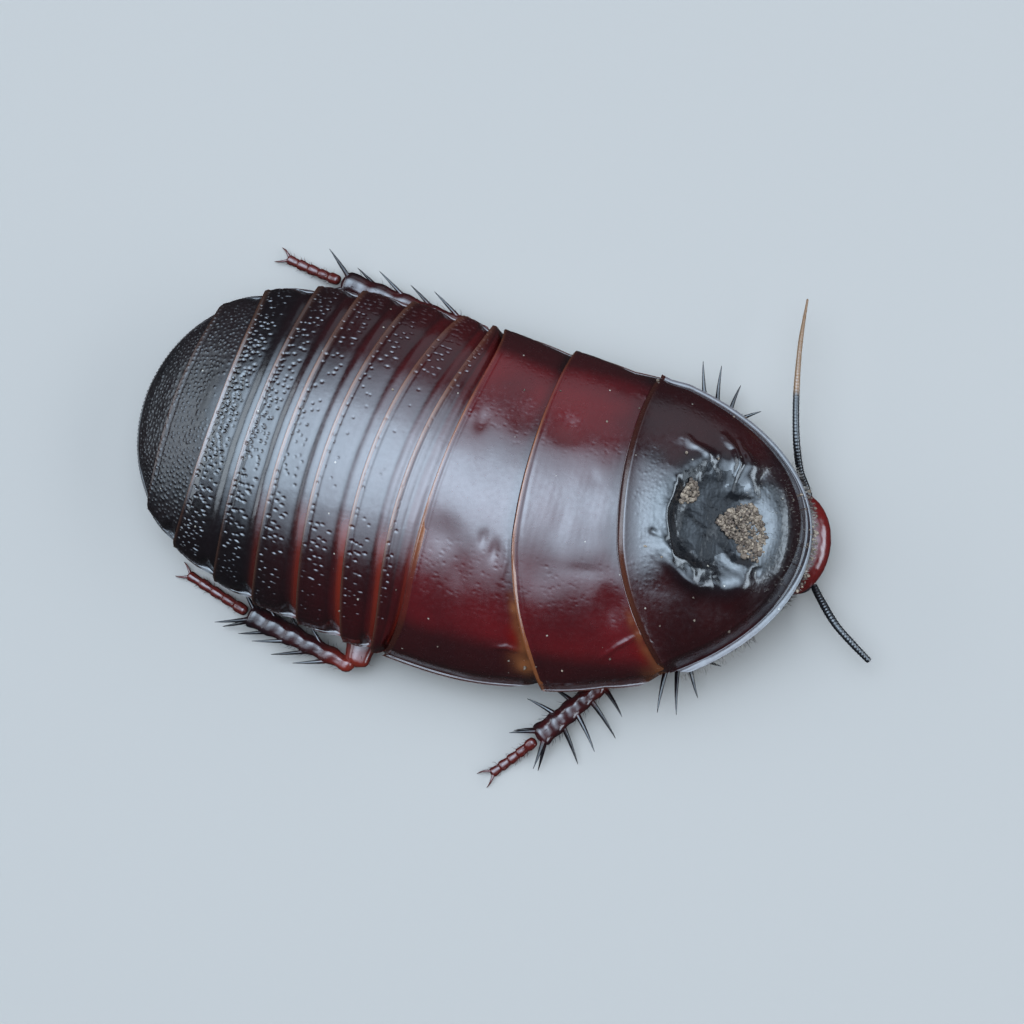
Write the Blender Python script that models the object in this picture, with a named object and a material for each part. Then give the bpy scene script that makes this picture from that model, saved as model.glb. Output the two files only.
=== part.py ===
# A giant burrowing cockroach, life size: a still model resting on its six feet.
# Lengths are in millimetres and are turned into metres where a mesh is made.
# The body is laid out straight, with s the station from tail to head, and is
# then bent sideways along its centre line.

import math
import random

import bmesh
import bpy
from mathutils import Vector

MM = 0.001
GAP = 0.3              # clear space between one piece and the next

# Body outline and heights
HEAD_END = 28.1        # front edge of the pronotum
TAIL_END = -31.3       # rear edge of the last plate
HALF_WIDTH = 14.7      # at the hind thorax, under the lips of the plates
SHIELD_SPAN = 15.75    # half width that the pronotum's outline would have there
SHIELD_BLEND = (12.0, 16.9)    # stations between which the one outline passes into the other
CREST_STATION = 3.0    # where the back is highest
CREST_HEIGHT = 9.5     # of the back above its side edges
EDGE_HEIGHT = 4.2      # of the side edges above the ground
EDGE_THICK = 0.75      # of the plates at their side edges
BROW_RISE = 2.5        # how much higher the front edge is
CHEST_HEIGHT = 4.7     # underside of the thorax
BELLY_HEIGHT = 2.4     # underside of the abdomen
BROW_HEIGHT = 6.3      # underside of the pronotum over the head
ARCH_POWER = 1.24      # how squarely the back rounds over to its edges
FRONT_POWER = 2.1      # how blunt the outline is at the head
REAR_POWER = 3.8       # how blunt it is at the tail

# Lateral bend: the abdomen swings to the animal's left of the thorax
BEND_STATION = 4.0
BEND_SOFTNESS = 3.0
THORAX_SLOPE = 0.055
ABDOMEN_SLOPE = -0.19
BEND_OFFSET = -2.07
THORAX_SHIFT = 0.5     # of the thorax and head to the animal's right

# Overlap of one plate's rear lip over the front of the next
LIP_LIFT = 0.35
LIP_REACH = 0.6
LIP_DEPTH = 0.4
TUCK_REACH = 0.3
TUCK_DEPTH = 0.62
LIP_RISE = 1.2         # length over which the pronotum rises to its rear lip
UNDER_INSET = 0.8      # of the underside within the side edges

PLATE_COLUMNS = 20
PLATE_SWELL = 0.016    # how far a plate's side bows out between its corners
RING_SPACE = 0.3       # least space between the rings of a limb at a cut
CUT_REACH = 1.25       # greatest reach of a cut end from its middle, in its half widths

# Middle of the whole plan, antennae and feet included, which is put at the origin
ORIGIN = (1.434, -2.498)

SHIELD_ROWS = 9
TAIL_ROWS = 4

# Plates from head to tail: name, rear edge on the midline, how far that edge
# comes forward at the sides, how far its side corners are drawn back, rows
PLATES = (
    ("pronotum", 12.6, 2.4, 0.0, SHIELD_ROWS),
    ("mesonotum", 4.25, 1.7, 0.0, 4),
    ("metanotum", -2.8, 0.9, 1.6, 4),
    ("tergite_1", -5.3, 1.9, 1.1, 2),
    ("tergite_2", -8.7, 1.9, 0.2, 2),
    ("tergite_3", -12.5, 1.5, 0.4, 2),
    ("tergite_4", -16.2, 0.9, 0.5, 2),
    ("tergite_5", -19.6, 0.4, 0.5, 2),
    ("tergite_6", -23.2, -0.5, 0.4, 2),
    ("tergite_7", -27.6, 0.6, 0.3, 2),
)
SHIELD_HALF_WIDTH = 12.5
TAIL_CORNER = 0.9      # the last plate's corners, behind its front edge

# Hollow in the pronotum, with its raised rim and two knobs before it
HOLLOW = {"s": 19.6, "length": 4.7, "width": 5.0, "depth": 1.25, "rim": 0.4}
KNOBS = ((22.6, 4.6), (22.6, -4.6))
KNOB_RADIUS = 1.5
KNOB_HEIGHT = 0.55

COLOURS = {
    "pronotum": ((0.045, 0.010, 0.009), 0.28),
    "thorax": ((0.115, 0.014, 0.011), 0.24),
    "abdomen": ((0.050, 0.010, 0.009), 0.30),
    "tail": ((0.016, 0.010, 0.010), 0.38),
    "head": ((0.210, 0.018, 0.010), 0.28),
    "eye": ((0.010, 0.008, 0.008), 0.15),
    "leg": ((0.080, 0.014, 0.010), 0.30),
    "antenna": ((0.012, 0.011, 0.013), 0.35),
    "mouth": ((0.150, 0.040, 0.018), 0.40),
}


# Space of the body

def centre_line(s):
    """Sideways place of the midline at a station."""
    u = s - BEND_STATION
    turn = THORAX_SLOPE - ABDOMEN_SLOPE
    swing = turn * BEND_SOFTNESS * math.log1p(math.exp(-u / BEND_SOFTNESS))
    shift = THORAX_SHIFT / (1 + math.exp(-(s + BEND_STATION) / BEND_SOFTNESS))
    return BEND_OFFSET + THORAX_SLOPE * u + swing - shift


def heading(s):
    """Direction of the midline at a station, as an angle from the straight body."""
    step = 0.01
    return math.atan((centre_line(s + step) - centre_line(s - step)) / (2 * step))


def placed(s, y, z):
    """A point of the straight body, on the bent one."""
    a = heading(s)
    return Vector((s - y * math.sin(a), centre_line(s) + y * math.cos(a), z))


def half_width(s):
    if s < 0:
        return HALF_WIDTH * max(0.0, 1 - (s / TAIL_END) ** REAR_POWER) ** 0.5
    low, high = SHIELD_BLEND
    blend = min(1.0, max(0.0, (s - low) / (high - low)))
    span = HALF_WIDTH + (SHIELD_SPAN - HALF_WIDTH) * blend
    return span * max(0.0, 1 - (s / HEAD_END) ** FRONT_POWER) ** 0.5


def front_station(y):
    """Where the front outline is y from the midline."""
    return HEAD_END * (1 - (y / SHIELD_SPAN) ** 2) ** (1 / FRONT_POWER)


def rear_station(y):
    return TAIL_END * (1 - (y / HALF_WIDTH) ** 2) ** (1 / REAR_POWER)


def edge_height(s):
    rise = max(0.0, (s - 6) / 22) ** 1.4
    fall = max(0.0, (-s - 8) / 24)
    return EDGE_HEIGHT + BROW_RISE * rise - 0.5 * fall


def crest_height(s):
    """Height of the back above its side edges, on the midline."""
    if s >= CREST_STATION:
        u = (s - CREST_STATION) / (HEAD_END - CREST_STATION)
        return CREST_HEIGHT * max(0.0, 1 - u ** 1.8) ** 0.625
    u = (CREST_STATION - s) / (CREST_STATION - TAIL_END)
    return CREST_HEIGHT * max(0.0, 1 - u ** 2) ** 0.714


def under_height(s, share):
    """Height of the underside at a share of the half width."""
    edge = edge_height(s) - EDGE_THICK
    sink = min(1.0, max(0.0, (-5.0 - s) / 8))
    rise = min(1.0, max(0.0, (s - 18.6) / 2.2))
    middle = CHEST_HEIGHT + sink * (BELLY_HEIGHT - CHEST_HEIGHT) + rise * (BROW_HEIGHT - CHEST_HEIGHT)
    power = 5 - 2.6 * sink
    return middle + (edge - middle) * min(1.0, share) ** power


def shield_relief(s, y):
    """Height of the pronotum's hollow, rim and knobs above its plain dome."""
    r = math.hypot((s - HOLLOW["s"]) / HOLLOW["length"], y / HOLLOW["width"])
    height = -HOLLOW["depth"] * math.exp(-(r / 0.85) ** 4)
    height += HOLLOW["rim"] * math.exp(-((r - 1.12) / 0.22) ** 2)
    for ks, ky in KNOBS:
        height += KNOB_HEIGHT * math.exp(-((s - ks) ** 2 + (y - ky) ** 2) / KNOB_RADIUS ** 2)
    return height


def back_point(s, y, width, lift):
    """A point of the back, lift above its surface along the normal."""
    share = max(-1.0, min(1.0, y / width))
    lean = math.sqrt(1 - share * share)
    crest = crest_height(s)
    z = edge_height(s) + crest * lean ** ARCH_POWER
    across, up = share / width, lean / max(crest, 1.0)
    size = math.hypot(across, up)
    return y + lift * across / size, z + lift * up / size


# Making objects

def material(name):
    made = bpy.data.materials.get(name)
    if made is None:
        colour, roughness = COLOURS[name]
        made = bpy.data.materials.new(name)
        made.use_nodes = True
        shader = made.node_tree.nodes["Principled BSDF"]
        shader.inputs["Base Color"].default_value = (*colour, 1)
        shader.inputs["Roughness"].default_value = roughness
        shader.inputs["Metallic"].default_value = 0.0
    return made


def finished(name, bm, finish, collection):
    """A linked object from a closed bmesh in millimetres."""
    bmesh.ops.recalc_face_normals(bm, faces=bm.faces)
    if bm.calc_volume(signed=True) < 0:
        bmesh.ops.reverse_faces(bm, faces=bm.faces)
    bmesh.ops.scale(bm, vec=(MM, MM, MM), verts=bm.verts)
    mesh = bpy.data.meshes.new(name)
    bm.to_mesh(mesh)
    bm.free()
    mesh.shade_smooth()
    mesh.set_sharp_from_angle(angle=math.radians(40))
    mesh.materials.append(material(finish))
    obj = bpy.data.objects.new(name, mesh)
    obj.location = (-ORIGIN[0] * MM, -ORIGIN[1] * MM, 0)
    collection.objects.link(obj)
    return obj


def slab(name, rows, columns, top, under, finish, collection):
    """A closed plate: a grid extruded into two faces, each vertex then put in place.

    top and under take the row number and a column share from -1 to 1.
    """
    bm = bmesh.new()
    bmesh.ops.create_grid(bm, x_segments=rows, y_segments=columns, size=1)
    made = bmesh.ops.extrude_face_region(bm, geom=bm.faces[:])
    upper = {v for v in made["geom"] if isinstance(v, bmesh.types.BMVert)}
    for vert in bm.verts:
        row = round((vert.co.x + 1) / 2 * rows)
        place = top if vert in upper else under
        vert.co = place(row, vert.co.y)
    bmesh.ops.triangulate(bm, faces=[f for f in bm.faces if len(f.verts) > 3], quad_method="SHORT_EDGE")
    return finished(name, bm, finish, collection)


def loft(bm, rings, point_start=None, point_end=None):
    """Skins rings of equal count and closes both ends, each with a cap or a point."""
    loops = [[bm.verts.new(p) for p in ring] for ring in rings]
    count = len(loops[0])
    for first, second in zip(loops, loops[1:]):
        for i in range(count):
            j = (i + 1) % count
            bm.faces.new((first[i], first[j], second[j], second[i]))
    for loop, tip in ((loops[0], point_start), (loops[-1], point_end)):
        if tip is None:
            bm.faces.new(loop)
            continue
        peak = bm.verts.new(tip)
        for i in range(count):
            bm.faces.new((loop[i], loop[(i + 1) % count], peak))


def ring(centre, side, up, width, height, count):
    """An oval ring of points, with two of them side by side at the bottom."""
    points = []
    for i in range(count):
        a = 2 * math.pi * (i + 0.5) / count - math.pi / 2
        points.append(centre + side * (width * math.cos(a)) + up * (height * math.sin(a)))
    return points


def limb(path, widths, heights, count=8, start_cut=None, end_cut=None, floor=0.0, roof=None):
    """A tapered oval tube along a path of points, as a bmesh with flat ends.

    A cut is the normal of the plane that an end lies in, so that two limbs meet
    face to face in a bent joint. roof gives the greatest height at a point.
    """
    bm = bmesh.new()
    rings = []
    last = len(path) - 1
    for i, centre in enumerate(path):
        along = (path[min(i + 1, last)] - path[max(i - 1, 0)]).normalized()
        side = along.cross(Vector((0, 0, 1))).normalized()
        up = side.cross(along).normalized()
        rings.append(ring(centre, side, up, widths[i], heights[i], count))
    for cut, end, sign in ((start_cut, 0, 1), (end_cut, last, -1)):
        if cut is None:
            continue
        along = (path[end + sign] - path[end]).normalized()
        for i, points in enumerate(rings):
            steps = abs(i - end)
            for number, p in enumerate(points):
                # distance along the limb from the plane of the cut
                reach = (p - path[end]).dot(cut) / along.dot(cut)
                if steps == 0 or reach < steps * RING_SPACE:
                    points[number] = p - along * (reach - steps * RING_SPACE)
                if steps == 0:
                    spoke = points[number] - path[end]
                    points[number] = path[end] + spoke * min(1.0, CUT_REACH * widths[end] / spoke.length)
    for points in rings:
        for p in points:
            if roof is not None:
                p.z = min(p.z, roof(p))
            p.z = max(p.z, floor)
    loft(bm, rings)
    bmesh.ops.triangulate(bm, faces=[f for f in bm.faces if len(f.verts) > 4])
    return bm


def spine(root, middle, tip, radius):
    """A tapered spine of five sides through a middle point, as a bmesh."""
    along = (tip - root).normalized()
    side = along.orthogonal().normalized()
    up = along.cross(side)
    bm = bmesh.new()
    rings = [ring(p, side, up, r, r, 5) for p, r in ((root, radius), (middle, radius * SPINE_TAPER))]
    loft(bm, rings, point_end=tip)
    return bm


def joined(name, pieces, finish, collection):
    """One closed body from overlapping closed pieces, by a Boolean union."""
    base = finished(name, pieces[0], finish, collection)
    if len(pieces) == 1:
        return base
    extras = bpy.data.collections.new(name + "_pieces")
    bpy.context.scene.collection.children.link(extras)
    for number, bm in enumerate(pieces[1:]):
        finished(f"{name}_piece_{number}", bm, finish, extras)
    union = base.modifiers.new("join", "BOOLEAN")
    union.operation = "UNION"
    union.operand_type = "COLLECTION"
    union.collection = extras
    union.solver = "MANIFOLD"
    graph = bpy.context.evaluated_depsgraph_get()
    mesh = bpy.data.meshes.new_from_object(base.evaluated_get(graph))
    base.modifiers.clear()
    base.data = mesh
    for piece in list(extras.objects):
        bpy.data.objects.remove(piece)
    bpy.data.collections.remove(extras)
    keep_largest(mesh)
    mesh.shade_smooth()
    mesh.set_sharp_from_angle(angle=math.radians(40))
    return base


def keep_largest(mesh):
    """Leaves the mesh with its largest closed surface only."""
    bm = bmesh.new()
    bm.from_mesh(mesh)
    left = set(bm.verts)
    shells = []
    while left:
        found, edge = set(), [left.pop()]
        while edge:
            vert = edge.pop()
            found.add(vert)
            near = {e.other_vert(vert) for e in vert.link_edges} & left
            left -= near
            edge.extend(near)
        shells.append(found)
    largest = max(shells, key=len)
    bmesh.ops.delete(bm, geom=[v for shell in shells if shell is not largest for v in shell], context="VERTS")
    bm.to_mesh(mesh)
    bm.free()


def spread(values, share):
    """Reads a short list of sizes as a smooth run, at a share from 0 to 1."""
    place = share * (len(values) - 1)
    low = min(int(place), len(values) - 2)
    t = place - low
    t = t * t * (3 - 2 * t)
    return values[low] * (1 - t) + values[low + 1] * t


# The plates of the back

def rear_edge(plate, share):
    _, middle, forward, corner, _ = plate
    return middle + forward * share ** 2 - corner * share ** 8


def inset_edge(plate, share, depth):
    """The rear edge where a surface sunk by depth has its own, lesser width."""
    return rear_edge(plate, share * (1 - depth / half_width(plate[1])))


def make_plate(number, collection):
    plate, before = PLATES[number], PLATES[number - 1]
    name, rows = plate[0], plate[4]
    # rows run from the tucked front wall to the undercut rear lip
    inner = [i / (rows + 1) for i in range(1, rows + 1)]
    lifts = [-TUCK_DEPTH, 0.0] + [LIP_LIFT * t ** 1.5 for t in inner] + [LIP_LIFT, -LIP_DEPTH]
    last = len(lifts) - 1

    def station(row, share):
        if row == 0:
            return inset_edge(before, share, TUCK_DEPTH) + TUCK_REACH
        if row == last:
            return inset_edge(plate, share, LIP_DEPTH) + LIP_REACH
        front, rear = rear_edge(before, share), rear_edge(plate, share)
        return front - 0.1 + (rear - front + 0.1) * (row - 1) / (last - 2)

    def top(row, column):
        share = math.sin(column * math.pi / 2)
        s = station(row, share)
        t = min(1.0, max(0.0, (row - 1) / (last - 2)))
        width = half_width(s) * (1 + PLATE_SWELL * math.sin(math.pi * t))
        y, z = back_point(s, share * width, width, lifts[row])
        return placed(s, y, z)

    def under(row, column):
        share = math.sin(column * math.pi / 2)
        front = inset_edge(before, share, UNDER_INSET) + TUCK_REACH
        rear = inset_edge(plate, share, UNDER_INSET) + LIP_REACH
        s = front + (rear - front) * row / last
        return placed(s, share * (half_width(s) - UNDER_INSET), under_height(s, abs(share)))

    finish = "thorax" if name.endswith("notum") else "abdomen"
    slab(name, last, PLATE_COLUMNS, top, under, finish, collection)


def make_pronotum(collection):
    plate = PLATES[0]
    last = SHIELD_ROWS + 1
    shoulder = front_station(SHIELD_HALF_WIDTH)
    corner = rear_edge(plate, 1.0)

    def plan(row, share):
        """Station and sideways place, from the front outline to the rear edge."""
        front = front_station(SHIELD_HALF_WIDTH * share)
        rear = rear_edge(plate, share)
        if row == last:
            s = rear + LIP_REACH
            return s, share * half_width(s)
        t = row / (last - 1)
        return front + (rear - front) * t, share * half_width(shoulder + (corner - shoulder) * t)

    def top(row, column):
        share = math.sin(column * math.pi / 2)
        s, y = plan(row, share)
        width = max(half_width(s), abs(y), 0.01)
        fade = min(1.0, row / 2)
        rise = max(0.0, 1 - (s - rear_edge(plate, share)) / LIP_RISE)
        lift = -LIP_DEPTH if row == last else shield_relief(s, y) * fade + LIP_LIFT * rise ** 2
        if row == 0:
            return placed(s, y, edge_height(s) + 0.25)
        y, z = back_point(s, y, width, lift)
        return placed(s, y, max(z, edge_height(s) + 0.1))

    def under(row, column):
        share = math.sin(column * math.pi / 2)
        front, y = plan(0, share)
        rear, rear_y = plan(last, share)
        t = row / last
        s = front + (rear - front) * t
        y += (rear_y - y) * t ** 1.5 - UNDER_INSET * share * t ** 0.5
        inset = 0.25 * (1 - abs(share)) if row == 0 else 0.0
        return placed(s - inset, y, under_height(s, min(1.0, abs(y) / max(half_width(s), 0.01))))

    slab("pronotum", last, PLATE_COLUMNS, top, under, "pronotum", collection)


def make_tail(collection):
    before = PLATES[-1]
    last = TAIL_ROWS + 1
    wide = half_width(rear_edge(before, 1.0))
    corner = half_width(before[1] - TAIL_CORNER)

    def plan(row, share):
        if row == 0:
            return inset_edge(before, share, TUCK_DEPTH) + TUCK_REACH
        front = rear_edge(before, share) - 0.1
        return front + (rear_station(corner * share) - front) * (row - 1) / (last - 1)

    def top(row, column):
        share = math.sin(column * math.pi / 2)
        s = plan(row, share)
        t = max(0.0, (row - 1) / (last - 1))
        y = share * (wide + (corner - wide) * t)
        if row == last:
            return placed(s, y, edge_height(s) + 0.2)
        lift = -TUCK_DEPTH if row == 0 else 0.0
        y, z = back_point(s, y, max(half_width(s), abs(y), 0.01), lift)
        return placed(s, y, max(z, edge_height(s) + 0.1))

    def under(row, column):
        share = math.sin(column * math.pi / 2)
        front, rear = plan(0, share), rear_station(corner * share)
        t = row / last
        s = front + (rear - front) * t
        y = share * (wide - UNDER_INSET + (corner - wide) * t)
        side = min(1.0, abs(y) / max(half_width(s), 0.01))
        return placed(s + 0.15 * t * (1 - abs(share)), y, under_height(s, side))

    slab("supra_anal_plate", last, PLATE_COLUMNS, top, under, "tail", collection)


# Legs: places of the joints, and the sizes along each piece

# Spines of a shin: share along it, turn about it from outwards, length, lean towards the foot
SPINES = (
    (0.18, 20, 3.3, 0.45), (0.36, -15, 3.6, 0.5), (0.54, 18, 3.7, 0.6), (0.72, -12, 3.5, 0.75),
    (0.30, 165, 2.2, 0.6), (0.50, 192, 2.6, 0.7), (0.70, 168, 2.7, 0.8),
    (0.93, 38, 3.1, 1.5), (0.93, -32, 2.9, 1.7), (0.93, 148, 2.6, 1.6), (0.93, 208, 2.4, 1.5),
)
# The shins of the fore legs are short and dig: fewer and longer spines on their outer side
FORE_SPINES = (
    (0.18, 0, 4.7, -0.55), (0.42, 8, 4.7, -0.38), (0.68, -8, 3.4, 0.02),
    (0.45, 168, 1.9, 0.7), (0.81, 38, 2.6, 1.2), (0.81, 150, 2.2, 1.2), (0.81, 212, 2.0, 1.3),
)
SPINE_RADIUS = 0.3
SPINE_TAPER = 0.62     # radius of a spine's middle, as a share of its root
SPINE_FLOOR = 0.35     # least height of a spine's tip
END_ROOM = 0.75        # least space from a spine's root to the end of the shin
FEMUR_ROOM = 2.2       # least space from a spine's tip to the middle of the femur
TARSUS_ROOM = 1.3

TOE_HEIGHT = 0.24      # of the middle of a foot's end, less than its half height
LEGS = {
    "fore_left": {
        "spines": FORE_SPINES,
        "coxa": (17.6, 1.9), "trochanter": (13.4, 4.6), "knee": (17.0, 9.4, 2.5), "ankle": (21.0, 8.4, 1.3),
        "toe": (24.2, 5.6, TOE_HEIGHT), "side": 1, "scale": 0.86,
    },
    "fore_right": {
        "spines": FORE_SPINES,
        "coxa": (17.6, -1.9), "trochanter": (13.4, -4.6),
        "knee": (16.6, -12.8, 2.5), "ankle": (20.2, -11.4, 1.3),
        "toe": (23.6, -8.0, TOE_HEIGHT), "side": -1, "scale": 0.86,
    },
    "middle_left": {
        "coxa": (9.6, 2.3), "trochanter": (5.0, 5.2), "knee": (12.4, 9.4, 2.4), "ankle": (4.3, 11.2, 1.5),
        "toe": (0.3, 11.5, TOE_HEIGHT), "side": 1, "scale": 0.95, "sweep": 1.6,
    },
    "middle_right": {
        "coxa": (9.6, -2.3), "trochanter": (4.8, -6.6),
        "knee": (13.2, -14.1, 2.3), "ankle": (7.1, -20.7, 1.5),
        "toe": (3.5, -24.1, TOE_HEIGHT), "side": -1, "scale": 0.95, "sweep": -0.35,
    },
    "hind_left": {
        "coxa": (-0.6, 2.4), "trochanter": (-6.5, 5.6),
        "knee": (-1.9, 13.9, 2.0), "ankle": (-16.1, 17.4, 1.6),
        "toe": (-21.6, 19.3, TOE_HEIGHT), "side": 1, "scale": 1.0, "sweep": 1.7,
    },
    "hind_right": {
        "coxa": (-0.6, -2.4), "trochanter": (-6.5, -5.6),
        "knee": (-9.3, -16.8, 2.1), "ankle": (-19.6, -13.2, 1.6),
        "toe": (-25.8, -10.4, TOE_HEIGHT), "side": -1, "scale": 1.0, "sweep": 1.7,
    },
}
COXA_HEIGHT = 3.1
COXA = {"width": (1.5, 2.3, 2.1, 1.2), "height": (1.3, 1.3, 1.2, 0.9)}
FEMUR = {"width": (0.9, 1.55, 1.6, 1.05), "height": (0.8, 1.0, 0.95, 0.75)}
TIBIA = {"width": (0.7, 0.85, 1.0, 1.15), "height": (0.65, 0.75, 0.8, 0.85)}
TARSUS = {"width": (0.5, 0.42, 0.44, 0.4), "height": (0.45, 0.38, 0.4, 0.36)}


def cut_between(before, joint, after):
    return ((joint - before).normalized() + (after - joint).normalized()).normalized()


def stretch(start, end, steps):
    return [start.lerp(end, i / (steps - 1)) for i in range(steps)]


def straight_place(p):
    """Station and sideways place of a point of the bent body."""
    s = p.x
    for _ in range(6):
        a = heading(s)
        y = (p.y - centre_line(s)) / math.cos(a)
        s = p.x + y * math.sin(a)
    return s, y


def clear_of_body(p):
    """Greatest height of a limb that passes under the body."""
    s, y = straight_place(p)
    width = half_width(min(max(s, TAIL_END + 0.5), HEAD_END - 0.5))
    if abs(y) > width + GAP:
        return BROW_HEIGHT
    return under_height(s, abs(y) / width) - GAP


def sized(sizes, steps, scale):
    return [spread(sizes, i / (steps - 1)) * scale for i in range(steps)]


def make_leg(name, leg, rng, collection):
    scale = leg["scale"]
    root = placed(*leg["coxa"], COXA_HEIGHT)
    hip = placed(*leg["trochanter"], COXA_HEIGHT)
    knee, ankle, toe = (Vector(leg[k]) for k in ("knee", "ankle", "toe"))
    joints = (root, hip, knee, ankle, toe)
    cuts = [cut_between(*joints[i - 1:i + 2]) for i in (1, 2, 3)]
    half = GAP / 2

    def end_points(i):
        """Ends of piece i, drawn back by half the gap measured across each joint's cut."""
        start, end = joints[i], joints[i + 1]
        along = (end - start).normalized()
        if i > 0:
            start = start + along * (half / along.dot(cuts[i - 1]))
        if i < 3:
            end = end - along * (half / along.dot(cuts[i]))
        return start, end

    for i, (part, sizes, steps, count) in enumerate((("coxa", COXA, 5, 10), ("femur", FEMUR, 6, 10))):
        start, end = end_points(i)
        bm = limb(stretch(start, end, steps), sized(sizes["width"], steps, scale),
                  sized(sizes["height"], steps, scale),
                  count, cuts[i - 1] if i else None, cuts[i], roof=clear_of_body)
        joined(f"{part}_{name}", [bm], "leg", collection)

    start, end = end_points(2)
    shin = limb(stretch(start, end, 5), sized(TIBIA["width"], 5, scale), sized(TIBIA["height"], 5, scale), 8,
                cuts[1], cuts[2])
    joined(f"tibia_{name}", [shin] + shin_spines(start, end, leg, rng), "leg", collection)

    start, end = end_points(3)
    make_foot(name, start, end, cuts[2], leg, collection)


def kept_clear(p, start, end, room):
    """Moves a point away from the middle line of another limb."""
    span = end - start
    t = min(1.0, max(0.0, (p - start).dot(span) / span.length_squared))
    away = p - (start + span * t)
    if away.length < room:
        p += away.normalized() * (room - away.length)


def shin_spines(start, end, leg, rng):
    """Spines rooted inside the shin, leaning towards the foot and kept off the ground."""
    hip = placed(*leg["trochanter"], COXA_HEIGHT)
    knee, ankle, toe = (Vector(leg[k]) for k in ("knee", "ankle", "toe"))
    along = (end - start).normalized()
    out = (Vector((0, 0, 1)).cross(along) * leg["side"] * math.copysign(1, along.x)).normalized()
    up = along.cross(out) * math.copysign(1, along.cross(out).z)
    pieces = []
    for share, turn, length, lean in leg.get("spines", SPINES):
        lean += leg.get("sweep", 0) if share < 0.9 else 0
        a = math.radians(turn + rng.uniform(-6, 6))
        away = out * math.cos(a) + up * math.sin(a)
        share = min(share, 1 - END_ROOM / (end - start).length)
        root = start.lerp(end, share) + away * 0.25
        reach = (away + along * lean).normalized() * length * leg["scale"] * rng.uniform(0.92, 1.08)
        tip = root + reach + away * 0.55
        middle = root.lerp(tip, 0.55) - along * 0.08
        for p in (middle, tip):
            kept_clear(p, hip, knee, FEMUR_ROOM)
            kept_clear(p, ankle, toe, TARSUS_ROOM)
            p.z = max(min(p.z, clear_of_body(p) - SPINE_RADIUS), SPINE_FLOOR)
        pieces.append(spine(root, middle, tip, SPINE_RADIUS))
    return pieces


def make_foot(name, start, end, cut, leg, collection):
    """Five foot joints as a beaded tube, with two claws; its end is flat on the ground."""
    steps = 11
    path = []
    for i in range(steps):
        t = i / (steps - 1)
        p = start.lerp(end, t)
        p.z = start.z + (end.z - start.z) * (1 - (1 - t) ** 2)
        path.append(p)
    beads = [1.0 if i % 2 == 0 else 1.22 for i in range(steps)]
    widths = [w * b * leg["scale"] for w, b in zip(sized(TARSUS["width"], steps, 1), beads)]
    heights = [h * b * leg["scale"] for h, b in zip(sized(TARSUS["height"], steps, 1), beads)]
    foot = limb(path, widths, heights, 6, cut, None)
    along = Vector((end.x - start.x, end.y - start.y, 0)).normalized()
    side = Vector((-along.y, along.x, 0))
    claws = []
    for sign in (1, -1):
        root = end - along * 0.25 + side * sign * 0.1 + Vector((0, 0, 0.12))
        tip = end + along * 1.0 + side * sign * 0.75
        tip.z = 0.1
        middle = root.lerp(tip, 0.55) + Vector((0, 0, 0.2)) + side * sign * 0.12
        claws.append(spine(root, middle, tip, 0.24))
    joined(f"tarsus_{name}", [foot] + claws, "leg", collection)


# Head

# Axes of the head: side, up from mouth to crown, and front, out of the face
HEAD = {"s": 26.6, "z": 3.0, "width": 4.45, "depth": 2.15, "length": 3.65, "tilt": 36}
EYE = {"side": 3.5, "up": 0.25, "front": 0.55, "radii": (0.75, 1.2, 1.4)}
MOUTH_UP = -2.35       # where the head is cut off for the mouthparts
NAPE = {"up": 0.3, "front": -1.75, "lean": -0.5}    # flat seat of the neck on the back of the head
NECK = {"start": (21.2, 5.0), "width": 2.4, "height": 1.5}
SOCKET = {"side": 2.3, "up": -0.1, "front": 1.75, "radius": 0.8}
SCAPE_RADII = (0.42, 0.5, 0.42)
ANTENNAE = {
    "left": {
        "side": 1,
        "path": ((28.0, 1.9, 1.1), (27.3, 3.7, 1.5), (26.5, 5.0, 2.8), (25.9, 7.0, 4.1), (25.5, 9.6, 4.6),
                 (25.25, 12.6, 4.6), (25.15, 16.2, 4.1), (25.3, 20.1, 3.2)),
        "radii": (0.32, 0.34, 0.32, 0.23, 0.13),
    },
    "right": {
        "side": -1,
        "path": ((28.8, -4.4, 1.25), (29.5, -5.6, 1.9), (30.9, -7.6, 2.8), (32.4, -9.0, 2.8),
                 (34.2, -10.4, 2.3)),
        "radii": (0.32, 0.36, 0.34, 0.32),
    },
}
PALPS = {
    "maxillary_palp": {"path": ((2.2, -2.65, -0.2), (2.9, -3.6, 0.1), (3.9, -4.3, 0.5)), "radius": 0.33},
    "labial_palp": {"path": ((0.95, -2.65, -1.3), (1.5, -3.6, -1.1), (2.4, -4.5, -0.4)), "radius": 0.32},
}


def head_point(side, up, front):
    tilt = math.radians(HEAD["tilt"])
    s = HEAD["s"] + up * math.cos(tilt) + front * math.sin(tilt)
    z = HEAD["z"] + up * math.sin(tilt) - front * math.cos(tilt)
    return placed(s, side, z)


def head_direction(side, up, front):
    return (head_point(side, up, front) - head_point(0, 0, 0)).normalized()


def oval(centre, radii, segments, rings_count, shape=None):
    """A ball stretched along the head's axes, about a centre given in them."""
    bm = bmesh.new()
    bmesh.ops.create_uvsphere(bm, u_segments=segments, v_segments=rings_count, radius=1)
    for vert in bm.verts:
        side, front, up = vert.co
        if shape:
            side, up, front = shape(side, up, front)
        offset = (side * radii[0], up * radii[2], front * radii[1])
        vert.co = head_point(*(c + o for c, o in zip(centre, offset)))
    return bm


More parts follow.
